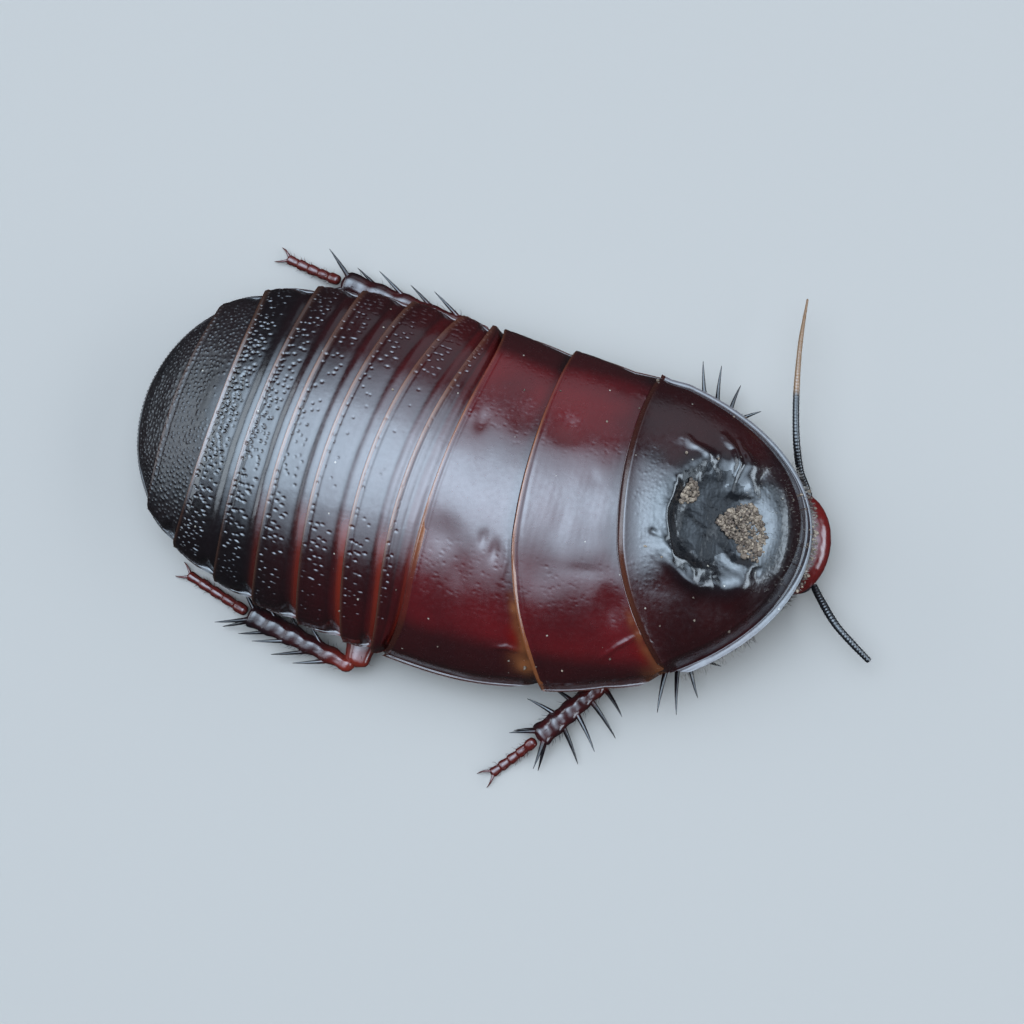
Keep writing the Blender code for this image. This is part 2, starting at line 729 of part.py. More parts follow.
def sliced(bm, place, normal):
    """Cuts off what lies beyond a plane and closes the cut."""
    bmesh.ops.bisect_plane(bm, geom=bm.verts[:] + bm.edges[:] + bm.faces[:], plane_co=place, plane_no=normal,
                           clear_outer=True)
    bmesh.ops.holes_fill(bm, edges=[e for e in bm.edges if e.is_boundary])
    bmesh.ops.triangulate(bm, faces=[f for f in bm.faces if len(f.verts) > 4])
    return bm


def carved(obj, cutters):
    """Cuts closed meshes out of an object and removes them."""
    for cutter in cutters:
        cut = obj.modifiers.new("socket", "BOOLEAN")
        cut.operation = "DIFFERENCE"
        cut.object = cutter
        cut.solver = "MANIFOLD"
    graph = bpy.context.evaluated_depsgraph_get()
    mesh = bpy.data.meshes.new_from_object(obj.evaluated_get(graph))
    obj.modifiers.clear()
    obj.data = mesh
    for cutter in cutters:
        bpy.data.objects.remove(cutter)
    keep_largest(mesh)
    mesh.shade_smooth()
    mesh.set_sharp_from_angle(angle=math.radians(40))


def make_head(collection, cutter_collection):
    def skull(side, up, front):
        """Narrower towards the mouth, with a flatter face."""
        pinch = 1 - 0.22 * max(0.0, -up) ** 1.5
        return side * pinch, up, front * (0.86 if front > 0 else 1.0)

    bm = oval((0, 0, 0), (HEAD["width"], HEAD["depth"], HEAD["length"]), 20, 12, skull)
    mouth_plane = head_point(0, MOUTH_UP, 0), head_direction(0, -1, 0)
    nape_place = head_point(0, NAPE["up"], NAPE["front"])
    neck_start = placed(NECK["start"][0], 0, NECK["start"][1])
    nape_normal = head_direction(0, NAPE["lean"], -1)
    sliced(bm, *mouth_plane)
    sliced(bm, nape_place, nape_normal)
    head = finished("head_capsule", bm, "head", collection)

    cutters = []
    for sign, name in ((1, "left"), (-1, "right")):
        centre = (sign * EYE["side"], EYE["up"], EYE["front"])
        joined(f"eye_{name}", [oval(centre, EYE["radii"], 10, 7)], "eye", collection)
        wider = tuple(r + GAP for r in EYE["radii"])
        cutters.append(finished(f"socket_{name}", oval(centre, wider, 12, 8), "eye", cutter_collection))
        pit = (sign * SOCKET["side"], SOCKET["up"], SOCKET["front"])
        size = (SOCKET["radius"],) * 3
        cutters.append(finished(f"pit_{name}", oval(pit, size, 10, 6), "head", cutter_collection))
    carved(head, cutters)

    neck_end = nape_place + nape_normal * GAP
    neck = limb(stretch(neck_start, neck_end, 4), [NECK["width"]] * 4, [NECK["height"]] * 4, 12, None,
                nape_normal, roof=clear_of_body)
    joined("neck", [neck], "leg", collection)


def make_antenna(name, antenna, collection):
    """A scape seated in its pit, and a tapered feeler that goes on from it."""
    sign = antenna["side"]
    pit = head_point(sign * SOCKET["side"], SOCKET["up"], SOCKET["front"])
    path = [Vector(p) for p in antenna["path"]]
    lead = (path[0] - pit).normalized()
    scape_end = path[0] - lead * GAP
    steps = 4
    cut = cut_between(pit, path[0], path[1])
    radii = sized(SCAPE_RADII, steps, 1)
    scape = limb(stretch(pit, scape_end, steps), radii, radii, 8, None, cut, roof=clear_of_body)
    joined(f"antenna_scape_{name}", [scape], "antenna", collection)
    count = len(path) * 2 + 1
    points = smooth_path(path, count)
    radii = sized(antenna["radii"], count, 1)
    joined(f"antenna_flagellum_{name}", [limb(points, radii, radii, 6, cut, None)], "antenna", collection)


def smooth_path(places, count):
    """A smooth curve of count points through a few places."""
    points = []
    last = len(places) - 1
    for i in range(count):
        t = i / (count - 1) * last
        k = min(int(t), last - 1)
        t -= k
        a, b, c, d = (places[min(max(k + j, 0), last)] for j in (-1, 0, 1, 2))
        points.append(0.5 * (2 * b + (c - a) * t + (2 * a - 5 * b + 4 * c - d) * t * t
                             + (3 * b - a - 3 * c + d) * t ** 3))
    return points


def make_mouth(collection):
    """Upper lip, jaws and palps, seated on the cut end of the head."""
    seat = head_point(0, MOUTH_UP, 0) + head_direction(0, -1, 0) * GAP
    normal = head_direction(0, 1, 0)

    def seated(name, centre, radii, segments=10):
        bm = sliced(oval(centre, radii, segments, 8), seat, normal)
        for vert in bm.verts:
            vert.co.z = max(vert.co.z, GAP)
        joined(name, [bm], "mouth", collection)

    seated("labrum", (0, MOUTH_UP, 0.95), (1.35, 0.55, 1.5))
    for sign, side in ((1, "left"), (-1, "right")):
        seated(f"mandible_{side}", (sign * 0.9, MOUTH_UP, -0.2), (0.75, 0.5, 1.35))
        for name, palp in PALPS.items():
            places = [head_point(sign * p[0], p[1], p[2]) for p in palp["path"]]
            for p in places:
                p.z = max(p.z, palp["radius"] + GAP)
            points = smooth_path(places, 5)
            radii = sized((palp["radius"], palp["radius"] * 0.8, palp["radius"]), 5, 1)
            joined(f"{name}_{side}", [limb(points, radii, radii, 6, normal)], "mouth", collection)


# Short tapered cerci under the rear plate
CERCUS = {"root": (-27.3, 5.2), "tip": (-29.6, 7.0), "radii": (0.75, 0.7, 0.3), "drop": 0.75}


def make_cerci(collection):
    for sign, side in ((1, "left"), (-1, "right")):
        ends = []
        for s, y in (CERCUS["root"], CERCUS["tip"]):
            height = under_height(s, y / half_width(s)) - CERCUS["drop"]
            ends.append(placed(s, sign * y, height))
        radii = sized(CERCUS["radii"], 4, 1)
        cercus = limb(stretch(*ends, 4), radii, radii, 8, roof=clear_of_body)
        joined(f"cercus_{side}", [cercus], "tail", collection)


def main():
    for obj in list(bpy.data.objects):
        bpy.data.objects.remove(obj)
    collection = bpy.data.collections.new("burrowing_cockroach")
    cutters = bpy.data.collections.new("cutters")
    for made in (collection, cutters):
        bpy.context.scene.collection.children.link(made)
    rng = random.Random(7)
    make_pronotum(collection)
    for number in range(1, len(PLATES)):
        make_plate(number, collection)
    make_tail(collection)
    make_cerci(collection)
    for name, leg in LEGS.items():
        make_leg(name, leg, rng, collection)
    make_head(collection, cutters)
    make_mouth(collection)
    for name, antenna in ANTENNAE.items():
        make_antenna(name, antenna, collection)


main()
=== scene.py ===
# A giant burrowing cockroach, life size: its looks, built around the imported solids.
# Lengths are in millimetres until a mesh is made. The body is laid out straight, with s the
# station from tail to head and y to the animal's left, and is then bent along its midline.

import math
import random

import bmesh
import bpy
import numpy as np
from mathutils import Matrix, Vector
from mathutils.kdtree import KDTree


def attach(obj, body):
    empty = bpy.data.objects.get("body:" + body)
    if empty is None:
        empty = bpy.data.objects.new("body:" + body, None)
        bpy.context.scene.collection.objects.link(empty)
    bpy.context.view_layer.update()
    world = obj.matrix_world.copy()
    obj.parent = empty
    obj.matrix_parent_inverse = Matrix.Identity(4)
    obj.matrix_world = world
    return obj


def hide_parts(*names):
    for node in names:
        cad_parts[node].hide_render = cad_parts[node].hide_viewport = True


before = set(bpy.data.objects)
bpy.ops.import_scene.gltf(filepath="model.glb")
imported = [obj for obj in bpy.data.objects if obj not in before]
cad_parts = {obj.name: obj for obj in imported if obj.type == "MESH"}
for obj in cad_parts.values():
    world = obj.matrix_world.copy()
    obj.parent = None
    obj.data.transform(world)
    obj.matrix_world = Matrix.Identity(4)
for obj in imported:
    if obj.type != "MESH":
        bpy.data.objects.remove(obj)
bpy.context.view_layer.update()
rng = np.random.default_rng(11)
mm = 0.001

body = {
    "headEnd": 28.1, "tailEnd": -31.3,     # ends of the outline
    "halfWidth": 14.7, "shieldSpan": 15.75, "shieldBlend": (12.0, 16.9),
    "frontPower": 2.1, "rearPower": 3.8,   # how blunt the outline is
    "crestStation": 3.0, "crestHeight": 9.5, "archPower": 1.24,
    "frontBow": (1.8, 0.625), "rearBow": (2, 0.714),       # how the crest comes down to the ends
    "edgeHeight": 4.2, "edgeThick": 0.75,
    "browRise": 2.5, "browRun": (6, 22, 1.4), "tailDrop": 0.5, "dropRun": (8, 24),
    "chest": 4.7, "belly": 2.4, "brow": 6.3,               # heights of the underside
    "bellyRun": (-5, 8), "neckRun": (18.6, 2.2),           # where it passes from one to the next
    "bendStation": 4.0, "bendSoftness": 3.0, "thoraxSlope": 0.055, "abdomenSlope": -0.19,
    "bendOffset": -2.07, "thoraxShift": 0.5,
    "origin": (1.434, -2.498),             # middle of the whole plan
}


# Space of the body

def smooth(x):
    x = np.clip(x, 0, 1)
    return x * x * (3 - 2 * x)


def bump(x):
    return np.exp(-x * x)


def centreLine(s):
    u = s - body["bendStation"]
    turn = body["thoraxSlope"] - body["abdomenSlope"]
    soft = body["bendSoftness"]
    shift = body["thoraxShift"] / (1 + np.exp(-(s + body["bendStation"]) / soft))
    return body["bendOffset"] + body["thoraxSlope"] * u + turn * soft * np.log1p(np.exp(-u / soft)) - shift


def heading(s):
    return np.arctan((centreLine(s + 0.01) - centreLine(s - 0.01)) / 0.02)


def placed(s, y, z):
    a = heading(s)
    x0, y0 = body["origin"]
    return np.stack([s - y * np.sin(a) - x0, centreLine(s) + y * np.cos(a) - y0, z + 0 * s], -1)


def bodyPoint(x, y, z):       # a place that was measured on the bent body
    return np.array([x - body["origin"][0], y - body["origin"][1], z])


def outlineSpan(s):
    low, high = body["shieldBlend"]
    blend = np.clip((s - low) / (high - low), 0, 1)
    return body["halfWidth"] + (body["shieldSpan"] - body["halfWidth"]) * blend


def outlineRest(s):      # share of the squared width that is left at a station
    front = (np.clip(s, 0, None) / body["headEnd"]) ** body["frontPower"]
    rear = (np.clip(s, None, 0) / body["tailEnd"]) ** body["rearPower"]
    return np.clip(1 - front - rear, 0, 1)


def halfWidth(s):
    return outlineSpan(s) * np.sqrt(outlineRest(s))


def frontStation(y):
    return body["headEnd"] * (1 - (y / body["shieldSpan"]) ** 2) ** (1 / body["frontPower"])


def rearStation(y):
    return body["tailEnd"] * (1 - (y / body["halfWidth"]) ** 2) ** (1 / body["rearPower"])


def marginDistance(s, y):     # about how far a point lies within the outline
    span = outlineSpan(s)
    rest = outlineRest(s) - (y / span) ** 2
    front = body["frontPower"] * np.clip(s, 1e-6, None) ** (body["frontPower"] - 1)
    front /= body["headEnd"] ** body["frontPower"]
    rear = body["rearPower"] * np.clip(-s, 1e-6, None) ** (body["rearPower"] - 1)
    rear /= (-body["tailEnd"]) ** body["rearPower"]
    slope = np.sqrt(np.where(s >= 0, front, rear) ** 2 + (2 * y / span ** 2) ** 2)
    return np.clip(rest / np.maximum(slope, 1e-4), 0, 9)


def edgeHeight(s):
    (riseStart, riseRun, risePower), (dropStart, dropRun) = body["browRun"], body["dropRun"]
    rise = np.clip((s - riseStart) / riseRun, 0, None) ** risePower
    drop = np.clip((-s - dropStart) / dropRun, 0, None)
    return body["edgeHeight"] + body["browRise"] * rise - body["tailDrop"] * drop


def crestHeight(s):
    mid = body["crestStation"]
    front = np.clip((s - mid) / (body["headEnd"] - mid), 0, 1)
    rear = np.clip((mid - s) / (mid - body["tailEnd"]), 0, 1)
    (foreBow, foreFill), (hindBow, hindFill) = body["frontBow"], body["rearBow"]
    return body["crestHeight"] * (1 - front ** foreBow) ** foreFill * (1 - rear ** hindBow) ** hindFill


def underHeight(s, share):
    edge = edgeHeight(s) - body["edgeThick"]
    (bellyStart, bellyRun), (neckStart, neckRun) = body["bellyRun"], body["neckRun"]
    sink, rise = np.clip((bellyStart - s) / bellyRun, 0, 1), np.clip((s - neckStart) / neckRun, 0, 1)
    middle = body["chest"] + sink * (body["belly"] - body["chest"]) + rise * (body["brow"] - body["chest"])
    return middle + (edge - middle) * np.clip(share, 0, 1) ** (5 - 2.6 * sink)


def rimWidth(y, rim):
    return rim[1] + (rim[0] - rim[1]) * smooth((y + 5) / 10)


def backPlace(s, y, flare, rim):
    # the dome, which meets a flat rim along the side edges; rim is its width at left and right
    width = np.maximum(halfWidth(s), 0.01)
    lean = np.sqrt(np.clip(1 - (y / width) ** 2, 0, 1))
    flat = rimWidth(y, rim)
    rise = smooth((marginDistance(s, y) - 0.55 * flat) / (0.95 * flat))
    z = edgeHeight(s) + 0.1 * (1 - rise) + crestHeight(s) * lean ** body["archPower"] * rise
    return placed(s, y * (1 + flare / np.maximum(width, 5)), z)


def backSurface(s, y, flare, rim):     # places and normals
    step = 0.04
    along = backPlace(s + step, y, flare, rim) - backPlace(s - step, y, flare, rim)
    across = backPlace(s, y + step, flare, rim) - backPlace(s, y - step, flare, rim)
    normal = np.cross(along, across)
    normal /= np.linalg.norm(normal, axis=-1, keepdims=True) + 1e-12
    return backPlace(s, y, flare, rim), normal


def ripple(s, y, length, seed, stretch=1.0):
    # smooth irregular waves between about -1 and 1, longer across the body by stretch
    waves = np.random.default_rng(seed)
    total = 0 * s
    for _ in range(7):
        a = waves.uniform(0, 2 * math.pi)
        k = 2 * math.pi / (length * waves.uniform(0.7, 1.5))
        total = total + np.sin(k * (s * math.cos(a) + y / stretch * math.sin(a)) + waves.uniform(0, 9))
    return total / 3.5


def ridge(s, y, path, width, height):
    # a raised fold along a line of places, lower at its ends
    best = np.full(s.shape, 99.0)
    share = np.zeros(s.shape)
    count = len(path) - 1
    for i, ((s0, y0), (s1, y1)) in enumerate(zip(path, path[1:])):
        ds, dy = s1 - s0, y1 - y0
        t = np.clip(((s - s0) * ds + (y - y0) * dy) / (ds * ds + dy * dy), 0, 1)
        d = np.hypot(s - s0 - t * ds, y - y0 - t * dy)
        share = np.where(d < best, (i + t) / count, share)
        best = np.minimum(best, d)
    return height * bump(best / width) * np.sin(np.pi * np.clip(share, 0.05, 0.95)) ** 0.5


# Making objects

def newObject(name, mesh, material, nodes):
    obj = bpy.data.objects.new(name, mesh)
    bpy.context.scene.collection.objects.link(obj)
    mesh.materials.clear()
    mesh.materials.append(material)
    mesh.shade_smooth()
    for node in nodes:
        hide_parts(node)
    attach(obj, "root")
    return obj


def faceOut(bm):
    # turns the faces of one closed shape outwards, by the sign of its volume
    bm.normal_update()
    bmesh.ops.recalc_face_normals(bm, faces=bm.faces)
    if bm.calc_volume(signed=True) < 0:
        bmesh.ops.reverse_faces(bm, faces=bm.faces)


def meshFrom(name, bm):
    mesh = bpy.data.meshes.new(name)
    bm.to_mesh(mesh)
    bm.free()
    return mesh


def vertexArray(mesh):
    co = np.empty(len(mesh.vertices) * 3)
    mesh.vertices.foreach_get("co", co)
    return co.reshape(-1, 3)


def setMask(mesh, name, values):
    layer = mesh.attributes.new(name, "FLOAT", "POINT")
    layer.data.foreach_set("value", np.ascontiguousarray(values, np.float32).ravel())


def closedPlate(name, places, masks):
    # A closed plate from a grid of places: its first axis runs round the plate, over the back
    # and under it again, and its second from the right side to the left.
    rounds, columns = places.shape[0], places.shape[1] - 1
    bm = bmesh.new()
    bmesh.ops.create_grid(bm, x_segments=rounds, y_segments=columns, size=1)
    mesh = meshFrom(name, bm)
    flat = vertexArray(mesh)
    row = np.rint((flat[:, 0] + 1) / 2 * rounds).astype(int) % rounds
    column = np.rint((flat[:, 1] + 1) / 2 * columns).astype(int)
    mesh.vertices.foreach_set("co", (places[row, column] * mm).ravel())
    for mask, values in masks.items():
        setMask(mesh, mask, values[row, column])
    bm = bmesh.new()
    bm.from_mesh(mesh)
    bpy.data.meshes.remove(mesh)
    bmesh.ops.remove_doubles(bm, verts=bm.verts, dist=1e-8)
    made = bmesh.ops.holes_fill(bm, edges=[e for e in bm.edges if e.is_boundary], sides=0)
    bmesh.ops.triangulate(bm, faces=made["faces"])
    faceOut(bm)
    return meshFrom(name, bm)


def tube(bm, sides, rings, place):
    # A closed tube added to bm; place takes the share along it and the angle about it.
    part = bmesh.new()
    bmesh.ops.create_cone(part, cap_ends=True, segments=sides, radius1=1, radius2=1, depth=1)
    edges = [e for e in part.edges if abs(e.verts[0].co.z - e.verts[1].co.z) > 0.5]
    if rings > 1:
        bmesh.ops.subdivide_edges(part, edges=edges, cuts=rings - 1)
    flat = np.array([v.co for v in part.verts])
    out = place(flat[:, 2] + 0.5, np.arctan2(flat[:, 1], flat[:, 0])) * mm
    for v, p in zip(part.verts, out):
        v.co = p
    faceOut(part)
    spare = meshFrom("part", part)
    bm.from_mesh(spare)
    bpy.data.meshes.remove(spare)


def unit(v):
    return v / (np.linalg.norm(v) + 1e-12)


def spike(bm, root, middle, tip, radius, sides=6, rings=6, blunt=0.05):
    # a tapered spine or hair that is bent through a middle place, at 0.55 of its run
    bend = (middle - 0.2025 * root - 0.3025 * tip) / 0.495
    way = unit(tip - root)
    side = unit(np.cross(way, (0.31, 0.2, 0.93)))
    up = np.cross(side, way)

    def place(t, a):
        f = t[:, None]
        centre = (1 - f) ** 2 * root + 2 * f * (1 - f) * bend + f * f * tip
        r = radius * ((1 - t) ** 0.8 * (1 - blunt) + blunt)
        return centre + np.outer(r * np.cos(a), side) + np.outer(r * np.sin(a), up)

    tube(bm, sides, rings, place)


def hair(bm, root, way, length, radius, sag=0.15):
    tip = root + way * length
    middle = root + way * length * 0.5 + rng.normal(0, sag * length, 3)
    spike(bm, root, middle, tip, radius, sides=4, rings=3, blunt=0.1)


def runOf(places):      # how far along a line each of its places lies
    return np.concatenate([[0], np.cumsum(np.linalg.norm(np.diff(places, axis=0), axis=1))])


def straight(start, end, count):      # even places between two ends
    return start + (end - start) * np.linspace(0, 1, count)[:, None]


def evenPath(places, count):
    # a smooth curve through a few places, in even steps
    places = np.array(places, float)
    last = len(places) - 1
    t = np.linspace(0, last, count * 4)
    k = np.minimum(t.astype(int), last - 1)
    t = (t - k)[:, None]
    a, b, c, d = (places[np.clip(k + j, 0, last)] for j in (-1, 0, 1, 2))
    curve = 2 * b + (c - a) * t + (2 * a - 5 * b + 4 * c - d) * t * t + (3 * b - a - 3 * c + d) * t ** 3
    curve = 0.5 * curve
    reach = runOf(curve)
    even = np.linspace(0, reach[-1], count)
    return np.stack([np.interp(even, reach, curve[:, i]) for i in range(3)], -1)


def along(values, t):      # reads a short list of sizes as a smooth run
    values = np.array(values, float)
    place = np.clip(t, 0, 1) * (len(values) - 1)
    low = np.minimum(place.astype(int), len(values) - 2)
    f = smooth(place - low)
    return values[low] * (1 - f) + values[low + 1] * f


def straightPlace(p):      # station and sideways place of points of the bent body
    x, y = p[..., 0] + body["origin"][0], p[..., 1] + body["origin"][1]
    s = x
    for _ in range(6):
        a = heading(s)
        across = (y - centreLine(s)) / np.cos(a)
        s = x + across * np.sin(a)
    return s, across


def clearOfBody(p):        # greatest height of what passes under the body
    s, y = straightPlace(p)
    width = halfWidth(np.clip(s, body["tailEnd"] + 0.5, body["headEnd"] - 0.5))
    return np.where(np.abs(y) > width + 0.3, 99, underHeight(s, np.abs(y) / width) - 0.12)


def limbFrame(path, t):
    k = np.clip(t, 0, 1) * (len(path) - 1)
    low = np.minimum(k.astype(int), len(path) - 2)
    f = (k - low)[:, None]
    centre = path[low] * (1 - f) + path[low + 1] * f
    steps = np.diff(path, axis=0)
    steps /= np.linalg.norm(steps, axis=1, keepdims=True)
    before, after = steps[np.maximum(low - 1, 0)], steps[np.minimum(low + 1, len(steps) - 1)]
    way = steps[low] + before * (1 - f) * 0.5 + after * f * 0.5
    way /= np.linalg.norm(way, axis=1, keepdims=True)
    side = np.cross(way, (0, 0, 1.0))
    side /= np.linalg.norm(side, axis=1, keepdims=True)
    return centre, way, side, np.cross(side, way)


def limbPlace(path, widths, heights, relief=None, round0=0.5, round1=0.5, floor=0.0, roof=None):
    # the place function for a tube: an oval limb along a path, with rounded ends
    path = np.array(path, float)
    length = runOf(path)[-1]

    def place(t, a):
        centre, way, side, up = limbFrame(path, t)
        w, h = along(widths, t), along(heights, t)
        start, end = np.clip(t * length / round0, 0, 1), np.clip((1 - t) * length / round1, 0, 1)
        cap = np.sqrt(np.clip(1 - (1 - start) ** 2, 0.002, 1) * np.clip(1 - (1 - end) ** 2, 0.002, 1))
        extra = relief(t * length, a) if relief else 0
        across, high = (w + extra) * cap * np.cos(a), (h + extra) * cap * np.sin(a)
        out = centre + side * across[:, None] + up * high[:, None]
        if roof is not None:
            out[:, 2] = np.minimum(out[:, 2], roof(out))
        out[:, 2] = np.maximum(out[:, 2], floor)
        return out

    return place


# Shared shader effects

def nodeGroup(name, inputs, outputs, build):
    group = bpy.data.node_groups.new(name, "ShaderNodeTree")
    for label, value in inputs:
        socket = group.interface.new_socket(label, in_out="INPUT", socket_type="NodeSocketFloat")
        socket.default_value = value
    for label in outputs:
        group.interface.new_socket(label, in_out="OUTPUT", socket_type="NodeSocketFloat")
    build(group, group.nodes.new("NodeGroupInput"), group.nodes.new("NodeGroupOutput"))
    return group


def feed(tree, socket, value):      # gives a socket a link or a plain value
    if isinstance(value, bpy.types.NodeSocket):
        tree.links.new(value, socket)
    else:
        socket.default_value = value


def addNode(tree, kind, inputs=None, **settings):
    node = tree.nodes.new("ShaderNode" + kind)
    for key, value in settings.items():
        setattr(node, key, value)
    for key, value in (inputs or {}).items():
        feed(tree, node.inputs[key], value)
    return node


def objectPlace(tree):
    return addNode(tree, "TexCoord").outputs["Object"]


def buildMottle(tree, source, sink):
    # soft clouds, fine grain and short streaks of the cuticle
    coords = objectPlace(tree)
    stretched = addNode(tree, "Mapping", {"Vector": coords, "Scale": (0.3, 1.0, 1.0)}).outputs[0]
    for label, vector, detail in (("Cloud", coords, 3.0), ("Grain", coords, 2.0), ("Streak", stretched, 2.0)):
        scale = source.outputs[label + " Scale"]
        noise = addNode(tree, "TexNoise", {"Vector": vector, "Scale": scale, "Detail": detail})
        tree.links.new(noise.outputs["Fac"], sink.inputs[label])


mottleScales = [("Cloud Scale", 130.0), ("Grain Scale", 2400.0), ("Streak Scale", 1300.0)]
mottleGroup = nodeGroup("cuticleMottle", mottleScales, ["Cloud", "Grain", "Streak"], buildMottle)


def buildDustAndGlints(tree, source, sink):
    # fine pale specks, partly soil stuck to the cuticle and partly painted glints: small discs in a few of
    # the cells
    cells = addNode(tree, "TexVoronoi", {"Vector": objectPlace(tree), "Scale": source.outputs["Scale"]})
    near = addNode(tree, "MapRange", {"Value": cells.outputs["Distance"], "From Min": 0.13, "From Max": 0.08})
    pick = addNode(tree, "SeparateColor", {"Color": cells.outputs["Color"]}).outputs["Red"]
    chosen = addNode(tree, "Math", {0: pick, 1: source.outputs["Amount"]}, operation="LESS_THAN")
    both = addNode(tree, "Math", {0: near.outputs["Result"], 1: chosen.outputs[0]}, operation="MULTIPLY")
    tree.links.new(both.outputs[0], sink.inputs["Specks"])


dustAndGlintGroup = nodeGroup("dustSpecks", [("Scale", 1300.0), ("Amount", 0.06)], ["Specks"], buildDustAndGlints)


def mixColour(tree, factor, *colours):
    a, b = (c if isinstance(c, bpy.types.NodeSocket) else (*c, 1) for c in colours)
    return addNode(tree, "Mix", {0: factor, 6: a, 7: b}, data_type="RGBA").outputs[2]


def attribute(tree, name):
    return addNode(tree, "Attribute", attribute_name=name).outputs["Fac"]


def scaled(tree, value, low, high, start=0.0, end=1.0):
    ends = {"From Min": start, "From Max": end, "To Min": low, "To Max": high}
    return addNode(tree, "MapRange", {"Value": value, **ends}).outputs["Result"]


def newMaterial(name, roughness=0.5):
    made = bpy.data.materials.new(name)
    made.use_nodes = True
    shader = made.node_tree.nodes["Principled BSDF"]
    shader.inputs["Roughness"].default_value = roughness
    return made, made.node_tree, shader


def noisyMask(tree, noise, *limits):      # fine noise over the object
    scale, detail = noise
    made = addNode(tree, "TexNoise", {"Vector": objectPlace(tree), "Scale": scale, "Detail": detail})
    return scaled(tree, made.outputs["Fac"], *limits)


# pale colour of the specks: soil dust, and painted glints
dustAndGlintColour = (0.30, 0.26, 0.21)


def cuticleMaterial(name, look):
    made, tree, shader = newMaterial(name)
    mottle = addNode(tree, "Group", node_tree=mottleGroup)
    mottle.inputs["Grain Scale"].default_value = look.get("grain", 2400)
    grain = mottle.outputs["Grain"]
    cloud = scaled(tree, mottle.outputs["Cloud"], 0, 1, 0.35, 0.65)
    colour = mixColour(tree, cloud, look["deep"], look["base"])
    if "tail" in look:      # the hind body turns black
        place = addNode(tree, "SeparateXYZ", {"Vector": objectPlace(tree)})
        colour = mixColour(tree, scaled(tree, place.outputs["X"], 1, 0, *look["fade"]), colour, look["tail"])
    # black darkens the cuticle, in places as painted shade; glow paints a red glow of light through thin
    # cuticle; thin mixes in a paler colour
    for mask in ("black", "glow", "thin"):
        if mask in look:
            colour = mixColour(tree, attribute(tree, mask), colour, look[mask])
    # pale specks mixed in: partly soil dust, partly painted glints
    if "dust" in look:
        dust = addNode(tree, "Group", {"Amount": look["dust"]}, node_tree=dustAndGlintGroup)
        colour = mixColour(tree, dust.outputs["Specks"], colour, dustAndGlintColour)
    gloss = scaled(tree, grain, *look["gloss"], 0.3, 0.7)
    rough = addNode(tree, "Math", {0: attribute(tree, "rough"), 1: 0.3, 2: gloss}, operation="MULTIPLY_ADD")
    height = addNode(tree, "Math", {0: grain, 1: mottle.outputs["Streak"]}, operation="ADD").outputs[0]
    strength = look.get("bump", 0.2)
    relief = addNode(tree, "Bump", {"Height": height, "Strength": strength, "Distance": 0.00006})
    tree.links.new(colour, shader.inputs["Base Color"])
    tree.links.new(rough.outputs[0], shader.inputs["Roughness"])
    tree.links.new(relief.outputs["Normal"], shader.inputs["Normal"])
    shader.inputs["IOR"].default_value = look.get("ior", 1.8)
    return made


looks = {     # colours, with the range of roughness as the gloss
    "pronotum": {
        "base": (0.027, 0.0034, 0.0036), "deep": (0.014, 0.0028, 0.0032), "black": (0.004, 0.004, 0.005),
        "thin": (0.085, 0.024, 0.011), "gloss": (0.17, 0.28), "dust": 0.06},
    "hollow": {
        "base": (0.010, 0.006, 0.0065), "deep": (0.006, 0.005, 0.006), "black": (0.004, 0.004, 0.005),
        "gloss": (0.16, 0.34), "bump": 0.5, "ior": 1.42, "grain": 3400},
    "thorax": {
        "base": (0.086, 0.0050, 0.0062), "deep": (0.048, 0.0044, 0.0055), "black": (0.015, 0.004, 0.0042),
        # the glow colour is a painted red glow of light through thin cuticle
        "thin": (0.20, 0.062, 0.020), "glow": (0.11, 0.002, 0.002), "gloss": (0.17, 0.28), "dust": 0.05,
        "bump": 0.10},
    "abdomen": {
        "base": (0.050, 0.0036, 0.0040), "deep": (0.028, 0.0030, 0.0035), "black": (0.005, 0.003, 0.0034),
        # the glow colour is a painted red glow of light through thin cuticle
        "thin": (0.17, 0.070, 0.038), "glow": (0.17, 0.017, 0.008), "gloss": (0.15, 0.25), "dust": 0.04,
        "bump": 0.12, "tail": (0.006, 0.0035, 0.004), "fade": (-0.021, -0.007)},
    "tail": {
        "base": (0.010, 0.0050, 0.0052), "deep": (0.005, 0.0040, 0.0044), "black": (0.004, 0.0035, 0.004),
        "thin": (0.05, 0.022, 0.014), "gloss": (0.26, 0.40), "dust": 0.08, "bump": 0.25, "ior": 1.62},
    "head": {
        "base": (0.105, 0.0065, 0.0055), "deep": (0.070, 0.0055, 0.005), "gloss": (0.16, 0.26), "bump": 0.06},
    "leg": {
        "base": (0.042, 0.0055, 0.0055), "deep": (0.016, 0.0040, 0.0045), "black": (0.006, 0.004, 0.005),
        "thin": (0.15, 0.016, 0.009), "gloss": (0.15, 0.27), "ior": 1.7},
    "antenna": {
        "base": (0.008, 0.007, 0.008), "deep": (0.005, 0.005, 0.006), "thin": (0.17, 0.085, 0.035),
        "gloss": (0.24, 0.36)},
    "mouth": {"base": (0.110, 0.026, 0.012), "deep": (0.060, 0.014, 0.009), "gloss": (0.25, 0.40)},
    "eye": {
        "base": (0.012, 0.010, 0.012), "deep": (0.006, 0.006, 0.008), "gloss": (0.12, 0.20), "bump": 0.05},
}
finishes = {name: cuticleMaterial(name + "Cuticle", look) for name, look in looks.items()}
print("materials made")


# The plates of the back

